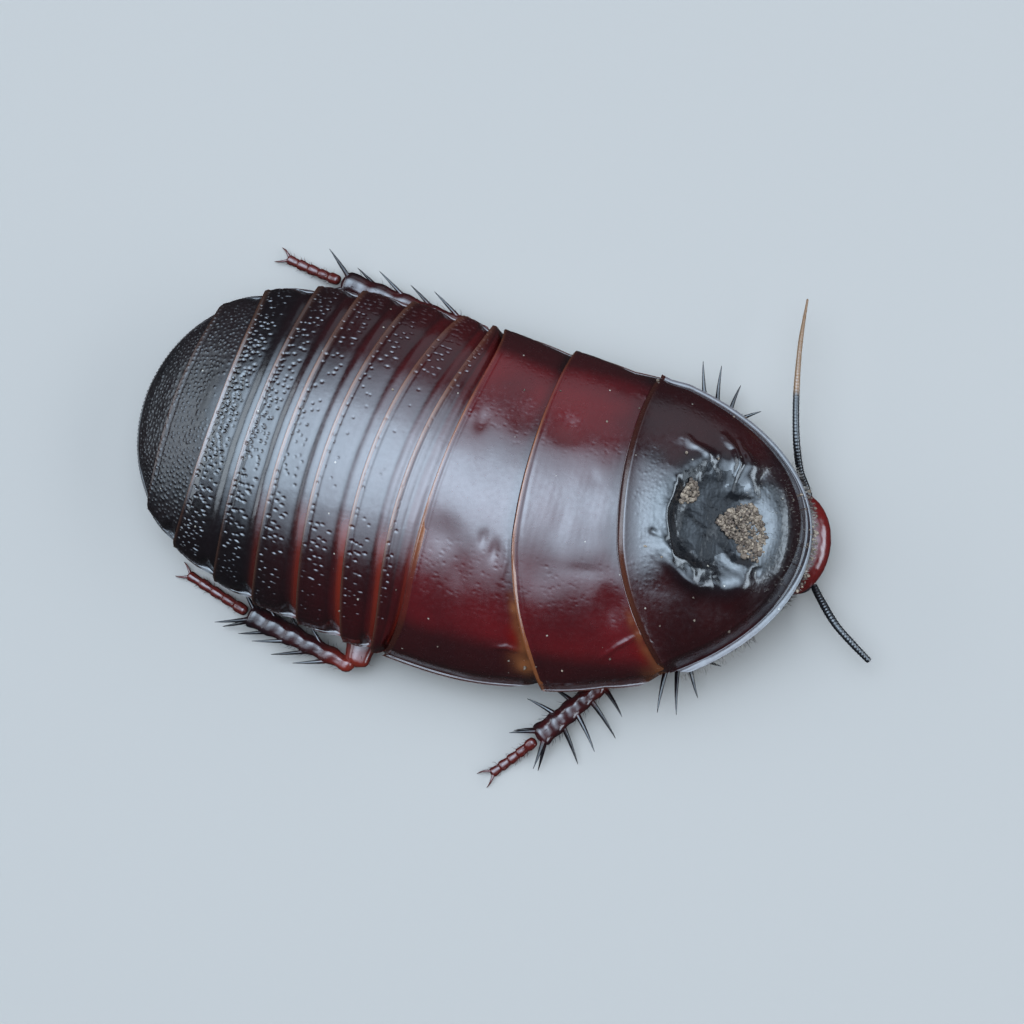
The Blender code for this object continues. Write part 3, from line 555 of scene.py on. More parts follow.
lip = {     # the raised rear edge of a plate; the walls are rows ahead of an edge, with depth and flare
    "lift": 0.35, "rise": 1.2,
    "rearWalls": ((-0.05, 0.26, 0.35), (-0.04, 0.12, 0.35), (0.1, 0.02, 0.35), (0.35, -0.1, 0.35),
                  (0.6, -0.4, 0.0)),
    "frontWalls": ((0.3, -0.62), (0.12, -0.3), (-0.03, -0.1)),
}
plates = [     # name, rear edge on the midline, its way forward at the sides, its corners' way back
    ("pronotum", 12.6, 2.4, 0.0),
    ("mesonotum", 4.25, 1.7, 0.0),
    ("metanotum", -2.8, 0.9, 1.6),
    ("tergite_1", -5.3, 1.9, 1.1),
    ("tergite_2", -8.7, 1.9, 0.2),
    ("tergite_3", -12.5, 1.5, 0.4),
    ("tergite_4", -16.2, 0.9, 0.5),
    ("tergite_5", -19.6, 0.4, 0.5),
    ("tergite_6", -23.2, -0.5, 0.4),
    ("tergite_7", -27.6, 0.6, 0.3),
]
skews = {"pronotum": (-0.3, -0.3, 2.4), "mesonotum": (-0.05, -0.15, 2.1)}     # further forward on the right
surfaces = []      # stations, sideways places, top places and normals of the finished plates


def rearEdge(plate, share):
    shift, tilt, right = skews.get(plate[0], (0, 0, 0))
    skew = shift + tilt * share + right * np.clip(-share - 0.2, 0, None) ** 1.5
    return plate[1] + plate[2] * share ** 2 - plate[3] * share ** 8 + skew


def columnShares(count):   # closer together towards the side edges
    return np.sin(np.linspace(-1, 1, count + 1) * math.pi / 2)[None, :]


meshStep = 0.05                  # about the finest spacing of a plate's mesh
abdomenWay = (0.985, -0.17)      # which way the abdomen points on the bent body


def stamp(lift, places, row, column, size, height, ring=0.0, stretch=1.0):
    # a small bump or pit about one vertex, longer along the body by stretch; ring raises the
    # border behind it
    reach = int(math.ceil(2.8 * size / meshStep))
    rows = slice(max(row - reach, 0), row + reach + 1)
    columns = slice(max(column - reach, 0), column + reach + 1)
    offset = places[rows, columns] - places[row, column]
    way = abdomenWay if stretch > 1 else (1, 0)
    ahead = offset[..., 0] * way[0] + offset[..., 1] * way[1]
    rest = np.clip((offset ** 2).sum(-1) - ahead ** 2, 0, None)
    d = np.sqrt((ahead / stretch) ** 2 + rest) / size
    lift[rows, columns] += height * bump(d)
    if ring:
        lift[rows, columns] += ring * bump((d - 1.6) / 0.6) * np.clip(-ahead / (size * stretch), 0, 1)


finePit = {"size": 0.055, "stretch": 2.2}


def finePits(lift, places, y, count, inner, depth):      # scattered over the flanks
    rows, columns = lift.shape
    for _ in range(count):
        row, column = rng.integers(4, rows - 4), rng.integers(6, columns - 6)
        if abs(y[row, column]) > inner * rng.uniform(0.8, 1.3):
            deep = depth[row, column] * rng.uniform(0.5, 1.4)
            size = finePit["size"] * rng.uniform(0.8, 1.3)
            stamp(lift, places, row, column, size, -deep, 0, finePit["stretch"])


def beadedRim(lift, margin, flat, bead, groove):
    # a raised bead along the border and a groove inside it: place and width as shares of the
    # flat border, and height
    for place, width, height in (bead, groove):
        lift += height * bump((margin - place * flat) / (width * flat))


def wallRow(station, y, depth, flare, rim):      # a row set off from the back by a depth
    spot, normal = backSurface(station, y, flare, rim)
    return (spot + normal * depth)[0]


def underRow(station, y, share, across, sunk, reach, drop=0.0):
    # a row of the underside, which rises to the rim within reach of the margin
    z = underHeight(station, share) - drop
    z = z + (edgeHeight(station) - sunk - z) * smooth(1 - marginDistance(station, y) / reach)
    return placed(station, across, z)[0]


def plateGrid(name, top, fore, hind, under, masks):
    full = {}
    for mask, values in masks.items():
        first, last = np.repeat(values[:1], len(fore), 0), np.repeat(values[-1:], len(hind) + len(under), 0)
        full[mask] = np.concatenate([first, values, last])
    return closedPlate(name, np.stack([*fore, *top, *hind, *under]), full)


def makePlate(number, detail):
    plate, before = plates[number], plates[number - 1]
    rows, columns, rim = detail["rows"], detail["columns"], detail["rim"]
    share = columnShares(columns)
    front, rear = rearEdge(before, share), rearEdge(plate, share)
    t = np.linspace(0, 1, rows + 1)[:, None]
    s = front - 0.1 + (rear - front + 0.1) * t
    taper = detail["taper"] * np.clip(-share, 0, 1) ** 2      # the right front corner is drawn in
    y = share * halfWidth(s) * (1 - taper * smooth(1 - t / 0.22))
    flare = halfWidth(s) * 0.016 * np.sin(math.pi * t) + lip["lift"] * t ** 1.5
    wide = 1 + detail["swell"] * bump((t - 0.22) / 0.14)      # the rim is widest near the front
    places, normals = backSurface(s, y, flare, (rim[0] * wide, rim[1] * wide))
    margin = marginDistance(s, y)
    lift = lip["lift"] * t ** 1.5 + 0 * s
    side = smooth((np.abs(y) - 4) / 5)
    fade = side * np.where(y > 0, *detail["fade"])
    line = detail["line"] * (1 + side * np.where(y > 0, 0.4, -0.35))      # width of the pale rear line
    masks = {"thin": bump((s - rear) / line) * (1 - fade) + 0.12 * bump(margin / 0.3),
             "black": 0 * s, "rough": 0 * s, "glow": 0 * s}
    detail["relief"](plate, s, y, t, margin, lift, places, masks)
    beadedRim(lift, margin, rimWidth(y, rim) * wide, (0.4, 0.35, 0.09), (1.5, 0.4, -0.05))
    lift -= 0.04 * bump((s - rear - 0.45) / 0.16)
    top = places + normals * lift[..., None]
    surfaces.append((s, y, top, normals))
    hind = [wallRow(rear + ahead, share * halfWidth(rear + ahead), depth, flared, rim)
            for ahead, depth, flared in lip["rearWalls"]]
    fore = [wallRow(front + ahead, share * halfWidth(front + ahead) * (1 - taper), depth, 0.0, rim)
            for ahead, depth in lip["frontWalls"]]
    under = []
    for u in np.linspace(0, 1, 14):      # the belly plate, stepped at its rear edge
        w = rear + 0.15 + (front + 0.15 - rear) * u
        width = halfWidth(w) * (1 - taper * smooth((u - 0.78) / 0.22))
        under.append(underRow(w, share * halfWidth(w), np.abs(share), share * (width - 0.06), 0.2, 1.3,
                              0.2 * (1 - u) ** 3))
    mesh = plateGrid(plate[0], top, fore, hind, under, masks)
    newObject(plate[0] + "Shell", mesh, finishes[detail["slot"]], [plate[0]])


thorax = {     # gentle dents: station, side, length, width, depth
    "mesonotum": [(7.3, 6.5, 1.7, 1.3, -0.26), (9.0, 8.3, 1.6, 1.4, -0.20), (10.0, 2.3, 0.8, 0.8, -0.035),
                  (10.4, 3.4, 0.5, 0.7, 0.02), (6.7, -5.8, 1.6, 2.2, -0.20), (12.3, -7.8, 0.9, 1.5, -0.24),
                  (9.9, -5.0, 1.8, 0.5, -0.05), (10.6, -3.4, 1.5, 0.9, 0.05), (7.8, -1.2, 0.7, 1.1, -0.03)],
    "metanotum": [(-0.9, 5.2, 0.6, 0.9, -0.12), (-1.8, 5.7, 0.4, 0.6, 0.04), (2.4, 7.2, 1.4, 1.8, -0.22),
                  (2.1, -3.8, 0.35, 0.7, -0.09), (3.1, -4.6, 0.35, 0.8, -0.12), (-0.9, -4.2, 1.2, 1.4, -0.14),
                  (1.4, 1.6, 1.2, 1.6, -0.03), (0.9, -7.0, 0.8, 1.6, -0.12)],
}
thoraxFolds = {
    "mesonotum": [([(11.7, -11.3), (13.0, -10.4), (14.5, -9.6)], 0.2, 0.16),
                  ([(12.9, 10.7), (13.4, 10.4), (13.9, 10.0)], 0.18, 0.12)],
    "metanotum": [([(4.1, -11.9), (4.9, -11.7), (5.9, -11.9)], 0.2, 0.16),
                  ([(3.9, -3.6), (4.1, -5.2), (3.9, -7.0)], 0.22, 0.05)],
}


def thoraxRelief(plate, s, y, t, margin, lift, places, masks):
    name = plate[0]
    lift += 0.05 * ripple(s, y, 7.0, 3 + len(name), 1.6) + 0.012 * ripple(s, y, 2.6, 5 + len(name), 2.0)
    lift += 0.002 * ripple(s, y, 0.6, 8, 2.5)
    for ds, dy, length, width, depth in thorax[name]:
        lift += depth * bump(np.hypot((s - ds) / length, (y - dy) / width))
    for path, width, height in thoraxFolds[name]:
        lift += ridge(s, y, path, width, height)
    lift -= (0.30 if name == "mesonotum" else 0.42) * smooth((-y - 0.5) / 5.5) * smooth(t)
    finePits(lift, places, y, 1100, 4.5, 0.013 * smooth(margin / 0.5 - 1))
    masks["black"] += 0.8 * smooth((np.abs(y) - 10.8) / 1.6) + 0.5 * (1 - smooth((np.abs(y) - 3.0) / 4.0))
    # painted shadow along the front of each plate, just behind the rear edge of the plate ahead
    masks["black"] += 0.3 * bump(t / 0.1)
    # the right front corner is orange-brown, with a deep red painted glow beside it
    fore = 0.95 if name == "metanotum" else 0.55
    stripe = bump((t - 0.02) / 0.045) * smooth((-y - 7.0) / 2) * smooth((13.6 + y) / 0.8)
    spot = bump(np.hypot((t - 0.07) / 0.075, (y + 12.8) / 0.75))
    masks["thin"] += fore * (0.75 + 0.25 * ripple(s, y, 1.1, 14)) * (stripe + spot)
    masks["glow"] += fore * bump(np.hypot((t - 0.085) / 0.05, (y + 11.0) / 0.85))


punctures = {   # rows of pits on the hind part of each plate, and how many are left out near the midline
    1: {"rows": 2, "spacing": 0.80, "skip": 0.90, "size": 0.070, "depth": 0.025},
    2: {"rows": 4, "spacing": 0.62, "skip": 0.88, "size": 0.075, "depth": 0.035},
    3: {"rows": 4, "spacing": 0.60, "skip": 0.75, "size": 0.080, "depth": 0.050},
    4: {"rows": 4, "spacing": 0.52, "skip": 0.50, "size": 0.090, "depth": 0.065},
    5: {"rows": 5, "spacing": 0.46, "skip": 0.22, "size": 0.100, "depth": 0.075},
    6: {"rows": 6, "spacing": 0.44, "skip": 0.15, "size": 0.105, "depth": 0.080},
}
flankPits = {"spacing": 0.74, "skip": 0.15, "size": 0.075, "depth": 0.075}
pitSpan = 18.5     # turn over the back from the midline to a side edge, in the units of the spacing


def tergiteRelief(plate, s, y, t, margin, lift, places, masks):
    number = int(plate[0][-1])
    rows, columns = s.shape[0] - 1, s.shape[1] - 1
    band = 0.33 if number > 1 else 0.5     # share of the plate that is a smooth front band
    lift += 0.07 * np.sin(math.pi * np.clip(t / band, 0, 1)) ** 2 - 0.015 * bump((t - band - 0.03) / 0.07)
    lift -= 0.012 * (number - 1) * bump((s - rearEdge(plate, columnShares(columns)) - 0.26) / 0.11)
    lift += 0.025 * ripple(s, y, 4.0, 20 + number, 2.5) + 0.004 * ripple(s, y, 1.1, 30 + number, 1.6)
    right = smooth((-y - 4.5) / 3)
    glow = bump((t - 0.06) / (0.17 - 0.09 * smooth((-y - 5.5) / 4)))      # painted red glow of light through the thin front band
    masks["glow"] += glow * right * max(0, 1 - abs(number - 2.6) / 3.2)
    masks["thin"] *= 1 if number < 5 else 0.7
    # painted shade along the groove behind the smooth front band, and a darker pitted hind part
    masks["black"] += 0.5 * bump((t - band) / 0.06) + 0.35 * smooth((t - band) / 0.1)
    dots = punctures[number]
    for k in range(dots["rows"]):
        level = 0.89 - (0.85 - band) * k / dots["rows"]
        place = -pitSpan + 0.5 * k * dots["spacing"]
        while place < pitSpan:
            flank = smooth((abs(place) - 3.5) / 4)
            spacing, size, depth = (dots[key] * (1 - flank) + flankPits[key] * flank
                                    for key in ("spacing", "size", "depth"))
            place += spacing * rng.uniform(0.6, 1.4)
            missing = (1 - flank) * dots["skip"] * (1 if k else 0.5) + flankPits["skip"] * flank
            if rng.random() < missing:
                continue
            row = int(round((level + rng.normal(0, 0.025)) * rows))
            column = int(round((place / pitSpan + 1) / 2 * columns))
            if 2 < row < rows - 2 and 6 < column < columns - 6:
                stamp(lift, places, row, column, size * rng.uniform(0.8, 1.2), -depth * rng.uniform(0.5, 1.3),
                      0.2 * depth * flank, 1.4 + 1.3 * flank)


def granules(lift, places, grain, chance):
    # Rounded grains scattered over a plate; chance says how likely one is at a place.
    spacing, size, height = grain
    rows, columns = lift.shape
    step = np.linalg.norm(places[1:, columns // 2] - places[:-1, columns // 2], axis=1).mean()
    row = 3.0
    while row < rows - 3:
        reach = runOf(places[int(row)])
        spots = np.arange(rng.uniform(0.2, 0.6) * spacing, reach[-1], spacing)
        spots = spots + rng.uniform(-0.3, 0.3, len(spots)) * spacing
        for column in np.searchsorted(reach, np.clip(spots, 0, reach[-1])):
            near = int(np.clip(int(row) + rng.uniform(-0.3, 0.3) * spacing / step, 2, rows - 3))
            if 4 < column < columns - 5 and rng.random() < chance[near, column]:
                wide, high = size * rng.uniform(0.75, 1.25), height * rng.uniform(0.6, 1.3)
                stamp(lift, places, near, column, wide, high)
        row += spacing / step


hindGrain = (0.44, 0.10, 0.055)      # spacing, size and height of the grains on the last tergite


def hindRelief(plate, s, y, t, margin, lift, places, masks):
    lift += 0.16 * bump(np.hypot((t - 0.2) / 0.2, (y - 0.5) / 3.4)) + 0.03 * ripple(s, y, 3.0, 41, 1.8)
    clear = 1 - 0.95 * bump(np.hypot((t - 0.2) / 0.2, (y - 0.5) / 2.6))
    granules(lift, places, hindGrain, clear * smooth(margin / 0.5 + 0.2) * (t > 0.06))
    masks["thin"] *= 0.8


shellDetails = {
    "rows": 76, "columns": 560, "rim": (0.25, 0.34), "slot": "abdomen", "relief": tergiteRelief,
    "taper": 0, "line": 0.23, "fade": (0.7, 0.75), "swell": 1.4,
}
thoraxDetails = {"rows": 110, "columns": 420, "rim": (0.30, 0.36), "slot": "thorax", "relief": thoraxRelief,
                 "line": 0.13, "swell": 0.3}
otherDetails = {
    1: {**thoraxDetails, "taper": 0.06, "fade": (0.8, 0.2)},
    2: {**thoraxDetails, "taper": 0.03, "fade": (0.8, 0.9)},
    9: {"rows": 86, "columns": 520, "slot": "tail", "relief": hindRelief},
}
for number in range(1, len(plates)):
    makePlate(number, {**shellDetails, **otherDetails.get(number, {})})
print("plates of the thorax and abdomen made")


# The pronotum, with its hollow, folds and rolled border

shield = {
    "rows": 210, "columns": 400, "rim": (0.62, 1.0), "halfWidth": 12.5, "corner": 0.08,
    "slant": 0.42,                       # width of the slanted band along the rear edge
    "grain": (0.28, 0.075, 0.028),       # spacing, size and height
    "pitCount": 900, "pitDepth": 0.012,
    "grooveStep": 0.24,                  # of the fine grooves across the right border
    "hollow": {"s": 19.7, "fore": 4.6, "hind": 3.7, "width": 4.7, "depth": 1.2, "rim": 0.34},
    "knobs": [(22.6, 4.6, 1.5, 0.55), (22.6, -4.6, 1.5, 0.55)],
    "folds": [   # path, width, height
        ([(16.9, 6.6), (18.3, 6.3), (19.4, 5.4), (19.8, 3.9)], 0.5, 0.26),
        ([(20.2, 7.3), (21.1, 6.3), (21.6, 4.9), (21.3, 3.4)], 0.36, 0.36),
        ([(21.4, 7.2), (22.3, 6.1), (22.6, 5.0)], 0.3, 0.2),
        ([(15.8, -1.9), (17.2, -3.1), (18.6, -3.9), (19.6, -4.0)], 0.5, 0.42),
        ([(15.8, -2.8), (17.2, -4.3), (18.9, -5.2), (20.0, -4.9)], 0.6, 0.34),
        ([(16.7, 2.8), (16.2, 1.2), (16.2, -0.8), (16.8, -2.6)], 0.38, 0.34),
        ([(20.2, 2.6), (21.4, 3.1), (22.6, 2.7), (23.8, 2.2)], 0.5, 0.2),
        ([(20.8, -2.4), (22.2, -3.3), (23.6, -3.2)], 0.5, 0.24),
        ([(17.4, 0.4), (18.6, -0.6), (19.9, -0.8)], 0.45, 0.12),
    ],
    "walls": ((-0.02, -0.22, 0.3), (0.08, -0.26, 0.3), (0.35, -0.32, 0.2), (0.6, -0.45, 0.0)),
    "pits": [   # station, side, width, height
        (23.2, 4.0, 0.6, -0.40), (23.4, -3.7, 0.5, -0.30), (15.1, -1.5, 0.3, -0.16), (19.6, 5.0, 0.6, -0.2),
        (17.4, -1.6, 0.9, -0.2), (18.2, 1.8, 1.2, -0.25), (21.9, -5.4, 1.1, 0.15)],
}


def shieldRelief(s, y):
    h = shield["hollow"]
    ahead = (s - h["s"]) / np.where(s > h["s"], h["fore"], h["hind"])
    r = np.hypot(ahead, y / h["width"])
    wall = 4.5 + 2.5 * smooth(-ahead) - 1.3 * smooth(y / 3) * smooth(ahead + 0.8)      # steepest behind
    ring = 1 - 0.95 * smooth((-ahead - 0.25) / 0.5) - 0.5 * smooth((ahead - 0.5) / 0.4)
    ring = ring * (0.75 + 0.25 * np.sin(3.3 * np.arctan2(y, ahead * 5) + 1.1))
    lift = -h["depth"] * np.exp(-(r / 0.9) ** wall) + h["rim"] * ring * bump((r - 1.12) / 0.2)
    lift = lift + 0.3 * smooth((s - 13.0) / 3.4) * smooth((6.2 - np.abs(y)) / 2.6) * smooth((22 - s) / 3)
    lift = lift + 0.42 * smooth((s - 23.4) / 2.4) * smooth((4.9 - np.abs(y)) / 1.6) * smooth((27.9 - s) / 1.3)
    for ks, ky, size, height in shield["knobs"]:
        lift = lift + height * bump(np.hypot(s - ks, y - ky) / size)
    warpS = s + 0.22 * ripple(s, y, 2.6, 51)
    warpY = y + 0.22 * ripple(s, y, 2.4, 52)
    for path, width, height in shield["folds"]:
        lift = lift + ridge(warpS, warpY, path, width, height)
    for ps, py, size, depth in shield["pits"]:
        lift = lift + depth * bump(np.hypot(warpS - ps, warpY - py) / size)
    for height, length, seed in ((0.035, 1.9, 53), (0.012, 0.8, 54), (0.004, 0.4, 55)):
        lift = lift + smooth(1.6 - r) * height * ripple(s, y, length, seed)
    return lift, r


def cornerPull(s, share):      # the right rear corner is drawn in
    return 1 - shield["corner"] * smooth((19.2 - s) / 2.6) * np.clip(-share, 0, 1) ** 2


def makePronotum():
    plate = plates[0]
    rows, columns, rim = shield["rows"], shield["columns"], shield["rim"]
    share = columnShares(columns)
    front, rear = frontStation(shield["halfWidth"] * share), rearEdge(plate, share)
    shoulder, corner = frontStation(shield["halfWidth"]), rearEdge(plate, 1.0)
    t = np.linspace(0, 1, rows + 1)[:, None] ** 1.35
    s = front + (rear - front) * t
    y = share * halfWidth(shoulder + (corner - shoulder) * t)
    y = np.clip(y, -halfWidth(s), halfWidth(s)) * cornerPull(s, share)
    rise = np.clip(1 - (s - rear) / lip["rise"], 0, 1) ** 2
    places, normals = backSurface(s, y, lip["lift"] * rise, rim)
    margin = marginDistance(s, y)
    inner = smooth((margin - 0.9) / 1.6)
    relief, r = shieldRelief(s, y)
    lift = 0.2 * np.clip(1 - (s - rear - shield["slant"]) / 1.8, 0, 1) ** 2 + relief * inner
    lift -= 0.34 * np.clip(1 - (s - rear) / shield["slant"], 0, 1)
    flat = rimWidth(y, rim) * (0.5 + 0.5 * smooth(np.abs(y) / 7))
    beadedRim(lift, margin, flat, (0.35, 0.35, 0.07), (1.6, 0.4, -0.06))
    fore = smooth((s - 22.4) / 1.4) * inner
    slope = smooth(1 - np.abs(s - 14.9) / 1.8) * smooth((6.5 - np.abs(y)) / 2)
    rough = fore + 0.9 * smooth((1.05 - r) / 0.3) + 0.8 * slope
    granules(lift, places, shield["grain"], np.clip(rough, 0, 0.95))
    finePits(lift, places, y, shield["pitCount"], 6.5, shield["pitDepth"] * smooth(margin / 0.5 - 1))
    grooves = 0.5 + 0.5 * np.sin(runOf(places[:, 2]) * 2 * math.pi / shield["grooveStep"])
    lift += 0.012 * bump((margin - 0.5 * flat) / (0.5 * flat)) * grooves[:, None] * (y < 0)
    top = places + normals * lift[..., None]
    surfaces.append((s, y, top, normals))
    black = 0.95 * smooth((1.5 - r) / 0.5) + 0.6 * smooth((s - 23) / 2) + 0.5 * slope
    edgeLine = 0.8 * smooth(1.3 - (s - rear) / 0.5) * (0.3 + 0.7 * bump((y + 5) / 4))
    # the dull floor of the hollow goes up its left wall
    floorReach = 0.78 + 0.2 * smooth((y - 1.4) / 1.4) * smooth((22.4 - s) / 1.4)
    floorReach = floorReach + 0.13 * ripple(s, y, 1.6, 57) + 0.05 * ripple(s, y, 0.5, 58)
    masks = {"black": black * smooth((s - rear - 0.3) / 0.3),
             "thin": edgeLine + 0.05 * bump(margin / 0.35),
             "rough": np.clip(0.35 * smooth((0.95 - r) / 0.3) + 0.35 * fore + 0.2 * slope, 0, 1),
             "dull": smooth((floorReach - r) / 0.1)}
    hind = []
    for ahead, depth, flare in shield["walls"]:
        w = rear + ahead
        hind.append(wallRow(w, share * halfWidth(w) * cornerPull(w, share), depth, flare, rim))
    under = []
    for u in np.linspace(0, 1, 26):
        w = rear + 0.2 + (front - rear - 0.26) * (1 - (1 - u) ** 1.5)
        wide = share * halfWidth(corner + (shoulder - corner) * u)
        wide = np.clip(wide, -halfWidth(w), halfWidth(w)) * cornerPull(w, share)
        side = np.abs(wide) / np.maximum(halfWidth(w), 0.01)
        under.append(underRow(w, wide, side, wide * 0.995, 0.22, 1.4))
    mesh = plateGrid("pronotum", top, [], hind, under, masks)
    shell = newObject("pronotumShell", mesh, finishes["pronotum"], ["pronotum"])
    shell.data.materials.append(finishes["hollow"])
    dull = shell.data.attributes["dull"].data
    for face in shell.data.polygons:
        face.material_index = int(dull[face.vertices[0]].value > 0.5)


makePronotum()
print("pronotum made")


# The last plate, grained and finely toothed

tail = {
    "rows": 84, "columns": 420, "corner": 0.9, "rim": (0.3, 0.34), "grain": (0.42, 0.10, 0.055),
    "teeth": 0.36, "toothDepth": 0.1,    # spacing and depth
    "toothRows": (1.0, 0.6, 0.25),       # share of the depth in each row
}


def makeTail():
    before = plates[-1]
    rows, columns, rim = tail["rows"], tail["columns"], tail["rim"]
    share = columnShares(columns)
    wide = halfWidth(rearEdge(before, 1.0))
    corner = halfWidth(before[1] - tail["corner"])
    front, rear = rearEdge(before, share), rearStation(corner * share)
    t = np.linspace(0, 1, rows + 1)[:, None]
    s = front - 0.1 + (rear - front + 0.1) * t ** 0.8
    y = share * (wide + (corner - wide) * t)
    y = np.clip(y, -halfWidth(s), halfWidth(s))
    places, normals = backSurface(s, y, 0 * s, rim)
    margin = marginDistance(s, y)
    lift = 0.04 * ripple(s, y, 2.6, 61, 1.5)
    granules(lift, places, tail["grain"], smooth((margin - 0.3) / 0.4 + 0.2))
    lift += 0.08 * bump((margin - 0.2) / 0.16) - 0.04 * bump((margin - 0.7) / 0.25)
    top = places + normals * lift[..., None]
    tooth = np.abs((runOf(top[-1]) / tail["teeth"]) % 1 - 0.5) * 2
    inward = top[-1] - top[-4]
    inward /= np.linalg.norm(inward, axis=1, keepdims=True) + 1e-9
    for k, weight in enumerate(tail["toothRows"]):
        top[-1 - k] -= inward * (tail["toothDepth"] * weight * (1 - tooth))[:, None]
    surfaces.append((s, y, top, normals))
    masks = {"black": 0 * s + 0.3, "thin": 0.15 * bump(margin / 0.25), "rough": 0 * s}
    fore = [wallRow(front + ahead, share * halfWidth(front + ahead), depth, 0.0, rim)
            for ahead, depth in lip["frontWalls"]]
    under = []
    for u in np.linspace(0, 1, 14):
        w = rear + 0.12 + (front + 0.18 - rear) * u
        across = np.clip(share * (corner + (wide - corner) * u), -halfWidth(w), halfWidth(w)) * 0.99
        side = np.abs(across) / np.maximum(halfWidth(w), 0.01)
        under.append(underRow(w, across, side, across, 0.2, 1.2))
    mesh = plateGrid("tail", top, fore, [], under, masks)
    newObject("supraAnalShell", mesh, finishes["tail"], ["supra_anal_plate"])


makeTail()
print("last plate made")


def onBack(s, y):      # a place on the finished plates, with its normal
    best = None
    for stations, sides, top, normals in surfaces:
        d = (stations - s) ** 2 + (sides - y) ** 2
        k = np.unravel_index(np.argmin(d), d.shape)
        if best is None or d[k] < best[0]:
            best = (d[k], top[k], normals[k])
    return best[1], best[2]


# Legs: places of the joints on the bent body, and the sizes along each piece

dice = random.Random(7)
shinSpines = [     # share along the shin, turn about it from outwards, length, lean towards the foot
    (0.18, 20, 3.3, 0.45), (0.36, -15, 3.6, 0.5), (0.54, 18, 3.7, 0.6), (0.72, -12, 3.5, 0.75),
    (0.30, 165, 2.2, 0.6), (0.50, 192, 2.6, 0.7), (0.70, 168, 2.7, 0.8),
    (0.93, 38, 3.1, 1.5), (0.93, -32, 2.9, 1.7), (0.93, 148, 2.6, 1.6), (0.93, 208, 2.4, 1.5),
]
foreSpines = [
    (0.18, 0, 4.7, -0.55), (0.42, 8, 4.7, -0.38), (0.68, -8, 3.4, 0.02),
    (0.45, 168, 1.9, 0.7), (0.81, 38, 2.6, 1.2), (0.81, 150, 2.2, 1.2), (0.81, 212, 2.0, 1.3),
]
legPairs = {
    "fore": {"coxa": (17.6, 1.9), "scale": 0.86, "spines": foreSpines},
    "middle": {"coxa": (9.6, 2.3), "scale": 0.95, "spines": shinSpines},
    "hind": {"coxa": (-0.6, 2.4), "scale": 1.0, "spines": shinSpines},
}
legs = {     # sweep leans the spines of the shin further towards the foot
    "fore_left": {"trochanter": (13.4, 4.6), "knee": (17.0, 9.4, 2.5), "ankle": (21.0, 8.4, 1.3),
                  "toe": (24.2, 5.6), "sweep": 0},
    "fore_right": {"trochanter": (13.4, -4.6), "knee": (16.6, -12.8, 2.5), "ankle": (20.2, -11.4, 1.3),
                   "toe": (23.6, -8.0), "sweep": 0},
    "middle_left": {"trochanter": (5.0, 5.2), "knee": (12.4, 9.4, 2.4), "ankle": (4.3, 11.2, 1.5),
                    "toe": (0.3, 11.5), "sweep": 1.6},
    "middle_right": {"trochanter": (4.8, -6.6), "knee": (13.2, -14.1, 2.3), "ankle": (7.1, -20.7, 1.5),
                     "toe": (3.5, -24.1), "sweep": -0.35},
    "hind_left": {"trochanter": (-6.5, 5.6), "knee": (-1.9, 13.9, 2.0), "ankle": (-16.1, 17.4, 1.6),
                  "toe": (-21.6, 19.3), "sweep": 2.3},
    "hind_right": {"trochanter": (-6.5, -5.6), "knee": (-9.3, -16.8, 2.1), "ankle": (-19.6, -13.2, 1.6),
                   "toe": (-25.8, -10.4), "sweep": 1.7},
}
hipHeight, toeHeight = 3.1, 0.24
limbSizes = {
    "coxa": ((1.5, 2.3, 2.1, 1.2), (1.3, 1.3, 1.2, 0.9)),
    "femur": ((0.9, 1.55, 1.6, 1.05), (0.8, 1.0, 0.95, 0.75)),
    "tibia": ((0.7, 0.85, 1.0, 1.15), (0.65, 0.75, 0.8, 0.85)),
    "tarsus": ((0.5, 0.42, 0.44, 0.4), (0.45, 0.38, 0.4, 0.36)),
}
limbCoats = {"femur": (50, 0.6, 0.022), "tibia": (90, 0.55, 0.022), "tarsus": (70, 0.42, 0.022)}
spine = {"radius": 0.26, "blunt": 0.08, "femurRoom": 2.2, "tarsusRoom": 1.3}
claw = {"radius": 0.15, "blunt": 0.08, "back": 0.27, "ahead": 0.97, "apart": (0.1, 0.73), "tipHeight": 0.08}


def keptClear(p, start, end, room):
    span = end - start
    t = np.clip((p - start) @ span / (span @ span), 0, 1)
    away = p - (start + span * t)
    distance = np.linalg.norm(away)
    return p + away / distance * (room - distance) if distance < room else p


def limbHairs(bm, path, widths, heights, coat):
    count, length, radius = coat
    for _ in range(count):
        t, a = rng.uniform(0.08, 0.95), rng.uniform(0, 2 * math.pi)
        centre, way, side, up = (v[0] for v in limbFrame(np.array(path), np.array([t])))
        out = side * math.cos(a) + up * math.sin(a)
        w, h = along(widths, np.array([t]))[0], along(heights, np.array([t]))[0]
        root = centre + side * math.cos(a) * w * 0.95 + up * math.sin(a) * h * 0.95
        grow = unit(out + way * rng.uniform(0.5, 1.1))
        reach = length * rng.uniform(0.7, 1.3)
        if 0.08 <= root[2] + grow[2] * reach <= clearOfBody(root):
            hair(bm, root, grow, reach, radius)


